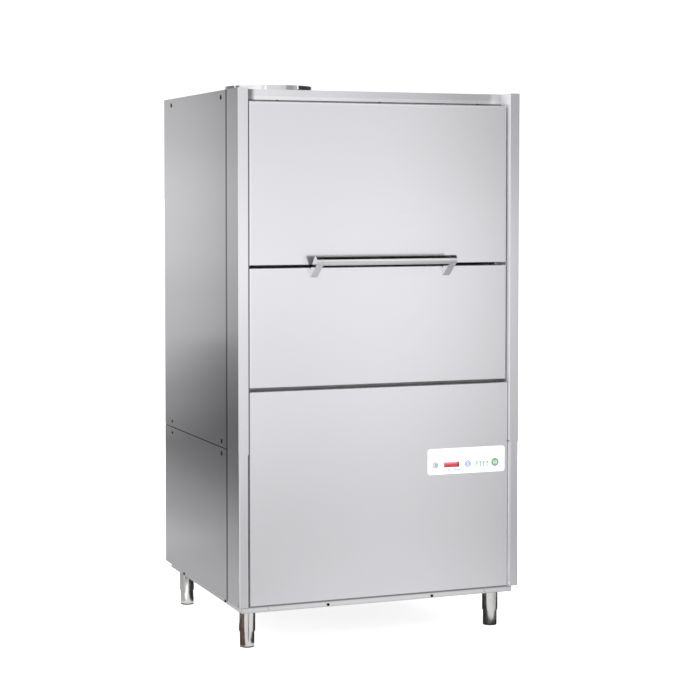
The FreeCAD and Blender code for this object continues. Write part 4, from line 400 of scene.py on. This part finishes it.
def inner_face_metal(tree):
    """Share of metal that is low on the right column's inner face and 1 elsewhere."""
    start, end = (COLUMN_INNER + reach for reach in INNER_FACE_REACH)
    right = ramp(tree, along(tree, "X", start, end), INNER_FACE_METAL)
    node = tree.nodes.new("ShaderNodeMix")
    node.data_type = "RGBA"
    node.inputs["A"].default_value = colour(1)
    tree.links.new(along(tree, "X", *RIGHT_HALF), node.inputs["Factor"])
    tree.links.new(right, node.inputs["B"])
    return node.outputs["Result"]


# Materials
def brushed_steel(name, slot, tint, rough, grain, shades=(), matt=0.0, dull_inside=False):
    """Sheet steel with a fine grain along one axis and soft cloudy changes of tone."""
    material, tree, shader = new_material(name, slot)
    stretch = [GRAIN_ALONG if axis == grain else GRAIN_ACROSS for axis in "XYZ"]
    lines = noise(tree, object_point(tree, stretch), *GRAIN_NOISE)
    clouds = noise(tree, object_point(tree), *CLOUD_NOISE)
    value = times(tree, spread(tree, lines, GRAIN_TONE, 1.0), spread(tree, clouds, CLOUD_TONE, 1.0))
    value = shaded(tree, value, shades)
    tree.links.new(tinted(tree, value, tint), shader.inputs["Base Color"])
    shader.inputs["Metallic"].default_value = 1.0 - matt
    if dull_inside:
        tree.links.new(inner_face_metal(tree), shader.inputs["Metallic"])
    gloss = spread(tree, lines, rough - SHEET_GLOSS, rough + SHEET_GLOSS)
    tree.links.new(gloss, shader.inputs["Roughness"])
    add_bump(tree, shader, lines, SHEET_BUMP)
    return material


def polished_steel(name, slot, tint, rough):
    """Turned metal with small changes of gloss."""
    material, tree, shader = new_material(name, slot)
    smudges = noise(tree, object_point(tree), *SMUDGE_NOISE)
    value = spread(tree, smudges, SMUDGE_TONE, 1.0)
    tree.links.new(tinted(tree, value, tint), shader.inputs["Base Color"])
    gloss = spread(tree, smudges, rough - SMUDGE_GLOSS[0], rough + SMUDGE_GLOSS[1])
    tree.links.new(gloss, shader.inputs["Roughness"])
    shader.inputs["Metallic"].default_value = 1.0
    return material


def plastic(name, slot, tint, rough, skin=MOULDED_SKIN, shades=()):
    """Moulded plastic, film, paint or rubber with a fine skin."""
    material, tree, shader = new_material(name, slot)
    scale, strength = skin
    height = noise(tree, object_point(tree), scale, *SKIN_DETAIL)
    value = shaded(tree, spread(tree, height, SKIN_TONE, 1.0), shades)
    tree.links.new(tinted(tree, value, tint), shader.inputs["Base Color"])
    gloss = spread(tree, height, rough - SKIN_GLOSS, rough + SKIN_GLOSS)
    tree.links.new(gloss, shader.inputs["Roughness"])
    add_bump(tree, shader, height, strength)
    return material


# Painted shade and highlights on the sheets: axis, from, to, and stops along the way.
# Doors: painted highlights on the bend at the top of the upper door and on the bends beside the gap
# between the doors, a painted shade line and a painted highlight at their left edges, and painted
# shade at their right edges
TOP_BEND_HIGHLIGHT = ("Z", upper_door_high.z - TOP_BEND_REACH, upper_door_high.z, (
    (0.0, 1.0), (0.45, 1.02), (0.70, 1.14), (1.0, 1.14),
))
SEAM_START = lower_door_high.z - SEAM_BEND_REACH[0]
SEAM_END = upper_door_low.z + SEAM_BEND_REACH[1]
SEAM_BEND_HIGHLIGHTS = ("Z", SEAM_START, SEAM_END, (
    (0.0, 1.0), (0.15, 1.0), (0.24, 1.14), (0.60, 1.14), (0.75, 1.0), (1.0, 1.0),
))
LEFT_EDGE_SHADE_AND_HIGHLIGHT = ("X", upper_door_low.x, upper_door_low.x + LEFT_BEND_REACH, (
    (0.0, 0.70), (0.05, 0.40), (0.18, 0.36), (0.27, 1.05),
    (0.40, 1.10), (0.60, 1.04), (0.80, 1.0), (1.0, 1.0),
))
RIGHT_EDGE_SHADE = ("X", upper_door_high.x - RIGHT_BEND_REACH, upper_door_high.x, (
    (0.0, 1.0), (0.35, 1.0), (0.60, 0.94), (1.0, 0.90),
))
DOOR_SHADES = (TOP_BEND_HIGHLIGHT, SEAM_BEND_HIGHLIGHTS, LEFT_EDGE_SHADE_AND_HIGHLIGHT, RIGHT_EDGE_SHADE)

# Service panel: painted shade lines along its left and bottom edges
PANEL_LEFT_SHADE = ("X", panel_low.x, panel_low.x + PANEL_EDGE_REACH, (
    (0.0, 0.30), (0.20, 0.28), (0.34, 1.0), (1.0, 1.0),
))
PANEL_BOTTOM_SHADE = ("Z", rail_high.z, rail_high.z + PANEL_EDGE_REACH, (
    (0.0, 0.45), (0.12, 0.50), (0.22, 1.0), (1.0, 1.0),
))
PANEL_SHADES = (PANEL_LEFT_SHADE, PANEL_BOTTOM_SHADE)

# Fascia: painted shade, dark at its left end beside the column and darker towards the right, a
# painted shadow line in the gap over the door, and a painted highlight just above that line
FASCIA_END = fascia_high.x - FASCIA_END_REACH
FASCIA_ACROSS = ("X", -FASCIA_END, FASCIA_END, (
    (0.0, 0.20), (0.03, 0.30), (0.05, 1.18), (0.25, 1.10),
    (0.6, 0.94), (0.88, 0.84), (0.95, 0.88), (1.0, 0.96),
))
FASCIA_UP = ("Z", upper_door_high.z, fascia_high.z, (
    (0.0, 0.12), (0.12, 0.12), (0.20, 1.06), (0.40, 1.06), (0.50, 0.94), (1.0, 0.94),
))
FASCIA_SHADES = (FASCIA_ACROSS, FASCIA_UP)

# Columns and side panels: painted shade on the right column's inner face, beside the doors, and a
# painted shade line along the front edge of each side panel, where it meets a column
COLUMN_EDGE_START = COLUMN_INNER - COLUMN_EDGE_REACH[0]
COLUMN_EDGE_END = COLUMN_INNER + COLUMN_EDGE_REACH[1]
COLUMN_INNER_FACE_SHADE = ("X", COLUMN_EDGE_START, COLUMN_EDGE_END, (
    (0.0, 1.0), (0.30, 0.90), (0.71, 0.90), (0.76, 1.0), (1.0, 1.0),
))
SIDE_JOINT_SHADE = ("Y", upper_side_low.y, upper_side_low.y + SIDE_EDGE_REACH, (
    (0.0, 0.26), (0.36, 0.30), (0.48, 1.0), (1.0, 1.0),
))

# Base frame: painted shade at the folds of the rail and along a groove, and a painted shadow along
# its top
FRAME_UP = ("Z", rail_low.z, rail_high.z, (
    (0.0, 0.60), (0.12, 0.92), (0.45, 1.0), (0.56, 0.98), (0.62, 0.84),
    (0.68, 0.97), (0.72, 0.90), (0.78, 0.36), (1.0, 0.28),
))

# Display window: pale at the top, red below, darker at both ends
WINDOW_UP = ("Z", window_low.z, window_high.z, (
    (0.0, (0.36, 0.03, 0.04)), (0.45, (0.52, 0.04, 0.05)),
    (0.75, (0.62, 0.16, 0.17)), (1.0, (0.80, 0.42, 0.42)),
))
WINDOW_ACROSS = ("X", window_low.x, window_high.x, (
    (0.0, 0.75), (0.12, 1.0), (0.75, 1.0), (0.90, 0.55), (1.0, 0.45),
))
WINDOW_SHADES = (WINDOW_UP, WINDOW_ACROSS)

STEEL = (0.80, 0.797, 0.828)
BRIGHT_STEEL = (0.84, 0.837, 0.87)
SATIN_STEEL = (0.80, 0.80, 0.81)

materials = {
    "columns": brushed_steel(
        "column_steel", "panel_steel", BRIGHT_STEEL, 0.18, "Z", (COLUMN_INNER_FACE_SHADE,), dull_inside=True
    ),
    "sides": brushed_steel("side_steel", "panel_steel", STEEL, 0.15, "Z", (SIDE_JOINT_SHADE,)),
    "roof": brushed_steel("roof_steel", "panel_steel", STEEL, 0.28, "X"),
    "fascia": brushed_steel(
        "fascia_steel", "panel_steel", BRIGHT_STEEL, 0.24, "X", FASCIA_SHADES
    ),
    "panel": brushed_steel(
        "panel_steel", "panel_steel", BRIGHT_STEEL, 0.22, "X", PANEL_SHADES, matt=0.05
    ),
    "door": brushed_steel(
        "door_steel", "door_steel", (0.82, 0.817, 0.848), 0.22, "X", DOOR_SHADES, matt=0.05
    ),
    "inner": brushed_steel(
        "inner_steel", "inner_steel", (0.62, 0.62, 0.63), 0.34, "X", matt=0.25
    ),
    "frame": brushed_steel(
        "frame_steel", "panel_steel", (0.90, 0.90, 0.91), 0.30, "X", (FRAME_UP,)
    ),
    "collar": polished_steel("collar_steel", "collar_steel", SATIN_STEEL, 0.16),
    "bar": polished_steel("bar_steel", "handle_steel", (0.84, 0.84, 0.85), 0.12),
    "bracket": polished_steel("bracket_steel", "handle_steel", SATIN_STEEL, 0.18),
    "leg": polished_steel("leg_steel", "leg_steel", (0.86, 0.85, 0.84), 0.17),
    "foot": polished_steel("foot_steel", "foot_steel", (0.84, 0.83, 0.82), 0.19),
    "pipe": polished_steel("pipe_steel", "pipe_steel", (0.66, 0.66, 0.66), 0.25),
    "link": polished_steel("link_steel", "link_steel", (0.55, 0.55, 0.54), 0.34),
    "heater": polished_steel("heater_steel", "heater_steel", (0.42, 0.40, 0.38), 0.42),
    "screw": polished_steel("screw_steel", "screw_steel", (0.02, 0.02, 0.022), 0.32),
    "brass": polished_steel("brass_fitting", "brass_fitting", (0.70, 0.56, 0.30), 0.28),
    "motor": plastic("motor_paint", "motor_paint", (0.14, 0.17, 0.22), 0.5),
    "dark": plastic("dark_plastic", "dark_plastic", (0.03, 0.03, 0.033), 0.5),
    "guide": plastic("guide_plastic", "guide_plastic", (0.80, 0.80, 0.77), 0.45),
    "grey": plastic("grey_plastic", "grey_plastic", (0.34, 0.35, 0.37), 0.5),
    "rubber": plastic("seal_rubber", "seal_rubber", (0.02, 0.02, 0.02), 0.6),
    "film": plastic("white_film", "white_film", (0.97, 0.975, 0.98), 0.32, FILM_SKIN),
    "key_grey": plastic("key_grey", "key_grey", (0.62, 0.70, 0.66), 0.35, FILM_SKIN),
    "key_violet": plastic("key_violet", "key_violet", (0.62, 0.68, 0.86), 0.35, FILM_SKIN),
    "key_green": plastic("key_green", "key_green", (0.20, 0.36, 0.19), 0.35, FILM_SKIN),
    "display": plastic(
        "display_red", "display_red", (1.0, 1.0, 1.0), 0.18, WINDOW_SKIN, WINDOW_SHADES
    ),
    "light": plastic("light_green", "light_green", (0.10, 0.38, 0.26), 0.25, LIGHT_SKIN),
    "print_grey": plastic("print_grey", "white_film", (0.06, 0.12, 0.10), 0.4),
    "print_violet": plastic("print_violet", "white_film", (0.10, 0.12, 0.34), 0.4),
    "print_green": plastic("print_green", "white_film", (0.06, 0.26, 0.16), 0.4),
    "print_light": plastic("print_light", "white_film", (0.70, 0.86, 0.70), 0.4),
}

NODE_MATERIALS = {
    "columns": ["columns"],
    "sides": [
        "side_panel_upper_left",
        "side_panel_upper_right",
        "side_panel_lower_left",
        "side_panel_lower_right",
    ],
    "roof": ["roof_panel", "back_panels"],
    "fascia": ["top_fascia"],
    "panel": ["service_panel"],
    "door": ["lower_door_skin", "upper_door_skin"],
    "inner": [
        "lower_door_liner",
        "upper_door_liner",
        "wash_chamber",
        "door_frame",
        "wash_tank",
        "tank_filters",
        "rack_rails",
        "boiler",
    ],
    "frame": ["base_frame"],
    "collar": ["exhaust_collar"],
    "bar": ["handle_bar"],
    "bracket": ["handle_brackets"],
    "leg": ["leg_sleeves"],
    "foot": ["foot_front_left", "foot_front_right", "foot_rear_left", "foot_rear_right"],
    "pipe": [
        "overflow_pipe",
        "rack",
        "lower_wash_arm",
        "lower_rinse_arm",
        "upper_wash_arm",
        "upper_rinse_arm",
        "wash_manifold",
        "rinse_pipes",
    ],
    "link": ["hinge_levers", "lift_carriages", "pump_impeller"],
    "heater": ["tank_heater", "boiler_heater"],
    "screw": ["fasteners"],
    "brass": ["inlet_valve"],
    "motor": ["pump_motor"],
    "dark": ["pump_casing", "cable_gland"],
    "guide": ["hinge_bushes", "door_guides"],
    "grey": ["control_box", "dosing_pumps", "arm_nuts", "drain_valve"],
    "rubber": ["door_seal", "suction_elbow"],
    "film": ["control_membrane"],
    "key_grey": ["power_key"],
    "key_violet": ["program_key"],
    "key_green": ["start_key"],
    "display": ["display_window"],
    "light": ["cycle_lights"],
}


def dress_nodes():
    for key, nodes in NODE_MATERIALS.items():
        for name in nodes:
            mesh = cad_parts[name].data
            mesh.materials.clear()
            mesh.materials.append(materials[key])


# Mesh helpers
def piece_from(name, build, material, body):
    """Object made by a function that fills a bmesh, riding on a body."""
    mesh = bpy.data.meshes.new(name)
    shape = bmesh.new()
    build(shape)
    bmesh.ops.recalc_face_normals(shape, faces=shape.faces)
    shape.to_mesh(mesh)
    shape.free()
    mesh.materials.append(materials[material])
    piece = bpy.data.objects.new(name, mesh)
    bpy.context.collection.objects.link(piece)
    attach(piece, body)


def join_rows(shape, rows, closed=True):
    """Skin over neighbouring rows of points. An open run gets a face at each end."""
    size = len(rows[0])
    for i in range(len(rows) if closed else len(rows) - 1):
        here = rows[i]
        there = rows[(i + 1) % len(rows)]
        for k in range(size):
            n = (k + 1) % size
            shape.faces.new((here[k], here[n], there[n], there[k]))
    if not closed:
        shape.faces.new(rows[0])
        shape.faces.new(list(reversed(rows[-1])))


def turned(shape, profile, steps, point):
    """Closed ring from (radius, lift) points. point() places each of them at an angle."""
    rows = []
    for i in range(steps):
        angle = math.tau * i / steps
        rows.append([shape.verts.new(point(angle, radius, lift)) for radius, lift in profile])
    join_rows(shape, rows)


def flat_ring(shape, x, z, y, outer, inner, start=0.0, sweep=FULL_TURN):
    """Thin printed ring or arc that faces -Y. Angles run from straight up."""
    count = int(RING_STEPS * sweep / FULL_TURN)
    closed = sweep == FULL_TURN
    back = PRINT_THICKNESS
    rows = []
    for i in range(count if closed else count + 1):
        angle = math.radians(start + sweep * i / count)
        direction = Vector((math.sin(angle), 0, math.cos(angle)))
        row = []
        for radius, depth in ((outer, 0), (inner, 0), (inner, back), (outer, back)):
            row.append(shape.verts.new(Vector((x, y + depth, z)) + direction * radius))
        rows.append(row)
    join_rows(shape, rows, closed)


def flat_bar(shape, x, z, y, width, height):
    """Thin printed upright or dash round a middle point."""
    half_x = width / 2
    half_z = height / 2
    points = (
        (x - half_x, z - half_z),
        (x + half_x, z - half_z),
        (x + half_x, z + half_z),
        (x - half_x, z + half_z),
    )
    front = [shape.verts.new((x, y, z)) for x, z in points]
    back = [shape.verts.new((x, y + PRINT_THICKNESS, z)) for x, z in points]
    shape.faces.new(front)
    shape.faces.new(list(reversed(back)))
    for i in range(len(points)):
        k = (i + 1) % len(points)
        shape.faces.new((front[i], front[k], back[k], back[i]))


def block(shape, low, high):
    """Closed slab with softened corners between two points."""
    result = bmesh.ops.create_cube(shape, size=1.0)
    for vert in result["verts"]:
        for i in range(3):
            vert.co[i] = low[i] if vert.co[i] < 0 else high[i]
    edges = list({edge for vert in result["verts"] for edge in vert.link_edges})
    width = min(high[i] - low[i] for i in range(3)) * STRIP_BEVEL
    bmesh.ops.bevel(shape, geom=edges, offset=width, segments=2, affect="EDGES")


def washer(shape, centre, axis):
    """Domed ring on a face, where axis is the face's outward direction."""
    axis = Vector(axis)
    across = axis.cross(Vector((0, 0, 1))).normalized()
    above = across.cross(axis)
    shoulder, rise = WASHER_SHOULDER
    profile = (
        (WASHER_INNER, 0.0),
        (WASHER_OUTER, 0.0),
        (WASHER_OUTER * shoulder, WASHER_THICK * rise),
        (WASHER_INNER, WASHER_THICK),
    )

    def point(angle, radius, lift):
        spoke = across * math.cos(angle) + above * math.sin(angle)
        return centre + spoke * radius + axis * lift

    turned(shape, profile, WASHER_STEPS, point)


# Print on the keys and the film
def print_on_keys():
    """Generic signs in a ring: two strokes, two arcs and two pale bars."""
    for name, body, material, bars, arcs in KEY_SIGNS:
        low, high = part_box(name)
        middle = (low + high) / 2
        radius = (high.x - low.x) / 2
        y = low.y - PRINT_THICKNESS - PRINT_LIFT

        def ring(shape, sizes, *sweep):
            outer, inner = sizes
            flat_ring(shape, middle.x, middle.z, y, radius * outer, radius * inner, *sweep)

        def uprights(shape, bars):
            for offset, width, height in bars:
                x = middle.x + radius * offset
                flat_bar(shape, x, middle.z, y, radius * width, radius * height)

        def sign(shape):
            ring(shape, SIGN_RING)
            uprights(shape, bars)
            for start in arcs:
                ring(shape, ARC_RING, start, ARC_SWEEP)

        def start_bars(shape):
            uprights(shape, START_BARS)

        piece_from(name + "_sign", sign, material, body)
        if name == "start_key":
            piece_from("start_key_bars", start_bars, "print_light", body)


def print_on_film():
    """Dashes under the display, and a stem and a cap for each light."""
    y = film_low.y - PRINT_THICKNESS - PRINT_LIFT

    def marks(shape):
        z = window_low.z - MARK_DROP
        for start in (window_low.x - MARK_START_LEFT, window_high.x - MARK_START_RIGHT):
            for i, height in enumerate(MARK_HEIGHTS):
                flat_bar(shape, start + MARK_INSET + i * MARK_PITCH, z, y, MARK_WIDTH, height)

    def stems(shape):
        radius = (lights_high.z - lights_low.z) / 2
        pitch = (lights_high.x - lights_low.x - 2 * radius) / (LIGHTS - 1)
        for i in range(LIGHTS):
            x = lights_low.x + radius + i * pitch
            flat_bar(shape, x, lights_low.z - STEM[0], y, *STEM[1:])
            flat_bar(shape, x, lights_high.z + CAP[0], y, *CAP[1:])

    piece_from("display_marks", marks, "print_violet", "cabinet")
    piece_from("light_stems", stems, "print_green", "cabinet")


# Feet
def foot_pads():
    """Rubber ring round the base of each foot, turned from a small profile."""
    for corner in ("front_left", "front_right", "rear_left", "rear_right"):
        low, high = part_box("foot_" + corner)
        middle = (low + high) / 2

        def point(angle, radius, height):
            x = middle.x + radius * math.cos(angle)
            return x, middle.y + radius * math.sin(angle), height

        def pad(shape):
            turned(shape, PAD_PROFILE, PAD_STEPS, point)

        piece_from("foot_pad_" + corner, pad, "rubber", corner + "_foot")


# Fixings and joints
def screw_places():
    """Middle of each screw head that stands on the left or right side."""
    places = []
    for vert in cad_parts["fasteners"].data.vertices:
        if abs(vert.co.x) < cad_high.x - SCREW_HEAD_REACH:
            continue
        for group in places:
            if (group[0] - vert.co).length < SCREW_HEAD_SPAN:
                group.append(vert.co.copy())
                break
        else:
            places.append([vert.co.copy()])
    return [sum(group, Vector()) / len(group) for group in places]


def screw_washers_and_shade():
    """Dark ring under each screw of the side panels, but not under the lower rear ones. It widens
    the black screw head and also stands in for its shadow.
    """

    def rings(shape):
        for place in screw_places():
            side = math.copysign(1, place.x)
            if place.y <= 0 or place.z >= REAR_WASHER_FROM:
                washer(shape, Vector((side * SIDE_FACE, place.y, place.z)), (side, 0, 0))

    piece_from("screw_washers_and_shade", rings, "screw", "cabinet")


def joint_strips():
    """Steel sheet inside the joint of each column, and a dark strip behind the rear end of the side
    joint that stands in for the shade in that gap.
    """

    def column(shape):
        low, high = COLUMN_JOINT
        outer, inner = COLUMN_STRIP
        front = COLUMN_FRONT + outer
        for side in (-1, 1):
            for near, far, back in (
                (COLUMN_INNER + COLUMN_STRIP_EDGE, SIDE_FACE - outer, COLUMN_FRONT + inner),
                (SIDE_FACE - inner, SIDE_FACE - outer, COLUMN_FRONT + COLUMN_STRIP_DEPTH),
            ):
                xs = sorted((side * near, side * far))
                block(shape, (xs[0], front, low), (xs[1], back, high))

    def rear(shape):
        low, high = PANEL_JOINT
        front, back = (cad_high.y - depth for depth in REAR_STRIP_Y)
        for side in (-1, 1):
            xs = sorted(side * (SIDE_FACE - depth) for depth in REAR_STRIP_X)
            block(shape, (xs[0], front, low), (xs[1], back, high))

    piece_from("column_joints", column, "columns", "cabinet")
    piece_from("rear_joint_shade", rear, "dark", "cabinet")


def rail_corner_arcs():
    """Thin half rings where the corner boxes meet the front rail."""
    y = RAIL_FRONT - PRINT_THICKNESS - PRINT_LIFT

    def corner_arcs(shape):
        for x in (-CORNER_ARC_X, CORNER_ARC_X):
            flat_ring(shape, x, CORNER_ARC_Z, y, *CORNER_ARC_RING, CORNER_ARC_START, CORNER_ARC_SWEEP)

    piece_from("rail_corner_arcs", corner_arcs, "link", "cabinet")


# Stage and light
def glowing(name, tone=1.0, shades=()):
    """Plain emission of one tone, or of the shades' ramps."""
    material = bpy.data.materials.new(name)
    material.use_nodes = True
    tree = material.node_tree
    tree.nodes.clear()
    out = tree.nodes.new("ShaderNodeOutputMaterial")
    glow = tree.nodes.new("ShaderNodeEmission")
    glow.inputs["Color"].default_value = colour(tone)
    tree.links.new(glow.outputs["Emission"], out.inputs["Surface"])
    if shades:
        tree.links.new(shaded(tree, None, shades), glow.inputs["Color"])
    return material


def sheet(name, corners, material):
    """Flat stage object through four corners."""
    mesh = bpy.data.meshes.new(name)
    mesh.from_pydata(corners, [], [(0, 1, 2, 3)])
    mesh.materials.append(material)
    thing = bpy.data.objects.new(name, mesh)
    bpy.context.collection.objects.link(thing)
    return thing


def card(name, corners, material):
    """Studio card that shows only in reflections."""
    thing = sheet(name, corners, material)
    thing.visible_camera = False
    thing.visible_shadow = False
    thing.visible_diffuse = False
    return thing


def plane(axis, place, first, second):
    """Corners of a flat card at one place on an axis, from two ranges on the other axes."""
    (a, b), (c, d) = first, second
    corners = [(a, c), (b, c), (b, d), (a, d)]
    if axis == "X":
        return [(place, y, z) for y, z in corners]
    if axis == "Y":
        return [(x, place, z) for x, z in corners]
    return [(x, y, place) for x, y in corners]


def floor_flag(*corners):
    """Corners of a flag that lies on the floor, from (x, y) points."""
    return [(x, y, FLAG_LIFT) for x, y in corners]


# Cards: name, corners, glow and turn about Z. The left side mirrors the first
# three, and the front mirrors the other two.
CARDS = (
    (
        "side_card_high",
        plane("Y", REAR_CARD_Y, SIDE_CARD_X, (SIDE_CARD_SPLIT, SIDE_CARD_TOP)),
        SIDE_HIGH_GLOW,
        0.0,
    ),
    (
        "side_card_low",
        plane("Y", REAR_CARD_Y, SIDE_CARD_X, (0.0, SIDE_CARD_SPLIT)),
        SIDE_LOW_GLOW,
        0.0,
    ),
    (
        "side_strip",
        plane("Z", STRIP_LIFT, SIDE_STRIP_X, (SIDE_STRIP_START, REAR_CARD_Y)),
        SIDE_STRIP_GLOW,
        0.0,
    ),
    (
        "front_card",
        plane("Y", FRONT_CARD_Y, FRONT_CARD_X, (0.0, FRONT_CARD_TOP)),
        FRONT_CARD_GLOW,
        0.0,
    ),
    (
        "front_strip",
        plane("Z", STRIP_LIFT, FRONT_STRIP_X, FRONT_STRIP_Y),
        FRONT_STRIP_GLOW,
        FRONT_STRIP_TURN,
    ),
)

# Flags: name, corners and tone. They darken what the legs, the collar, the
# handle and parts of the front mirror; spot_rear is a bright one.
FLAGS = (
    # The first flag lies under the machine: a dark sheet that stands in for the shade on the floor
    # there, as the legs mirror it
    ("under_shade_flag", plane("Z", FLAG_LIFT, (-0.40, 0.56), (-0.44, 0.47)), 0.03),
    (
        "flag_left",
        floor_flag((-1.3, -0.86), (-0.49, -0.37), (-0.49, 0.05), (-1.3, 0.05)),
        FLAG_BROWN,
    ),
    (
        "flag_toe",
        floor_flag((-0.53, -0.95), (-0.40, -0.95), (-0.44, -0.44), (-0.47, -0.44)),
        0.12,
    ),
    ("flag_right", plane("Z", FLAG_LIFT, (0.56, 1.30), (-0.45, 0.40)), 0.06),
    ("flag_collar_left", plane("X", -2.2, (0.3, 2.4), (1.65, 2.7)), 0.20),
    ("flag_collar_right", plane("X", 2.2, (-1.2, 2.0), (1.90, 2.5)), 0.02),
    ("flag_above", plane("Z", 3.0, (-0.4, 2.2), (-3.0, -0.1)), 0.0),
    ("flag_front_right", plane("Y", FRONT_FLAG_Y, (3.13, 5.6), (1.68, 3.0)), 0.40),
    ("flag_front_left", plane("Y", FRONT_FLAG_Y, (1.40, 2.05), (0.0, 0.80)), 0.74),
    ("wall_right", plane("X", 4.6, (-6.0, 2.0), (0.0, 2.4)), 0.45),
    ("spot_rear", plane("Z", SPOT_LIFT, (-0.62, -0.50), (0.0, 0.30)), 1.7),
)


def reflected_cards():
    for name, corners, shades, turn in CARDS:
        thing = card(name, corners, glowing(name, shades=shades))
        thing.rotation_euler.z = math.radians(turn)
    for name, corners, tone in FLAGS:
        card(name, corners, glowing(name, tone))


def studio_floor():
    """Pale paper that the steel doesn't mirror."""
    material, tree, shader = new_material("floor_paper", "floor")
    grain = noise(tree, object_point(tree), *PAPER_NOISE)
    paper = tinted(tree, spread(tree, grain, PAPER_TONE, 1.0), FLOOR_TONE)
    tree.links.new(paper, shader.inputs["Base Color"])
    shader.inputs["Roughness"].default_value = FLOOR_ROUGHNESS
    shader.inputs["Specular IOR Level"].default_value = 0.0
    shader.inputs["Emission Color"].default_value = colour(1.0)
    shader.inputs["Emission Strength"].default_value = FLOOR_GLOW
    span = (-FLOOR_HALF, FLOOR_HALF)
    thing = sheet("studio_floor", plane("Z", 0, span, span), material)
    thing.visible_glossy = False


def light_world():
    world = bpy.data.worlds.new("studio")
    bpy.context.scene.world = world
    world.use_nodes = True
    tree = world.node_tree
    place = tree.nodes.new("ShaderNodeTexCoord")
    split = tree.nodes.new("ShaderNodeSeparateXYZ")
    tree.links.new(place.outputs["Generated"], split.inputs["Vector"])
    glow = spread(tree, split.outputs["Z"], WORLD_BELOW, WORLD_ABOVE, *HORIZON)
    tree.links.new(glow, tree.nodes["Background"].inputs["Color"])


def lamp():
    data = bpy.data.lights.new("key", "AREA")
    data.shape = "RECTANGLE"
    data.size = LAMP_SIZE
    data.size_y = LAMP_SIZE
    data.energy = LAMP_POWER
    thing = bpy.data.objects.new("key", data)
    bpy.context.collection.objects.link(thing)
    thing.location = LAMP_PLACE
    direction = Vector(LAMP_AIM) - thing.location
    thing.rotation_euler = direction.to_track_quat("-Z", "Y").to_euler()


def set_camera():
    data = bpy.data.cameras.new("camera")
    data.lens = CAMERA_LENS_MM
    data.sensor_width = CAMERA_SENSOR_MM
    data.shift_y = CAMERA_SHIFT_Y
    thing = bpy.data.objects.new("camera", data)
    bpy.context.collection.objects.link(thing)
    thing.location = CAMERA_PLACE
    thing.rotation_euler = (math.radians(90 - CAMERA_PITCH), 0, math.radians(-CAMERA_YAW))
    bpy.context.scene.camera = thing


bpy.context.scene.view_settings.view_transform = "Standard"
set_camera()
light_world()
studio_floor()
reflected_cards()
lamp()
dress_nodes()
print_on_keys()
print_on_film()
foot_pads()
screw_washers_and_shade()
joint_strips()
rail_corner_arcs()
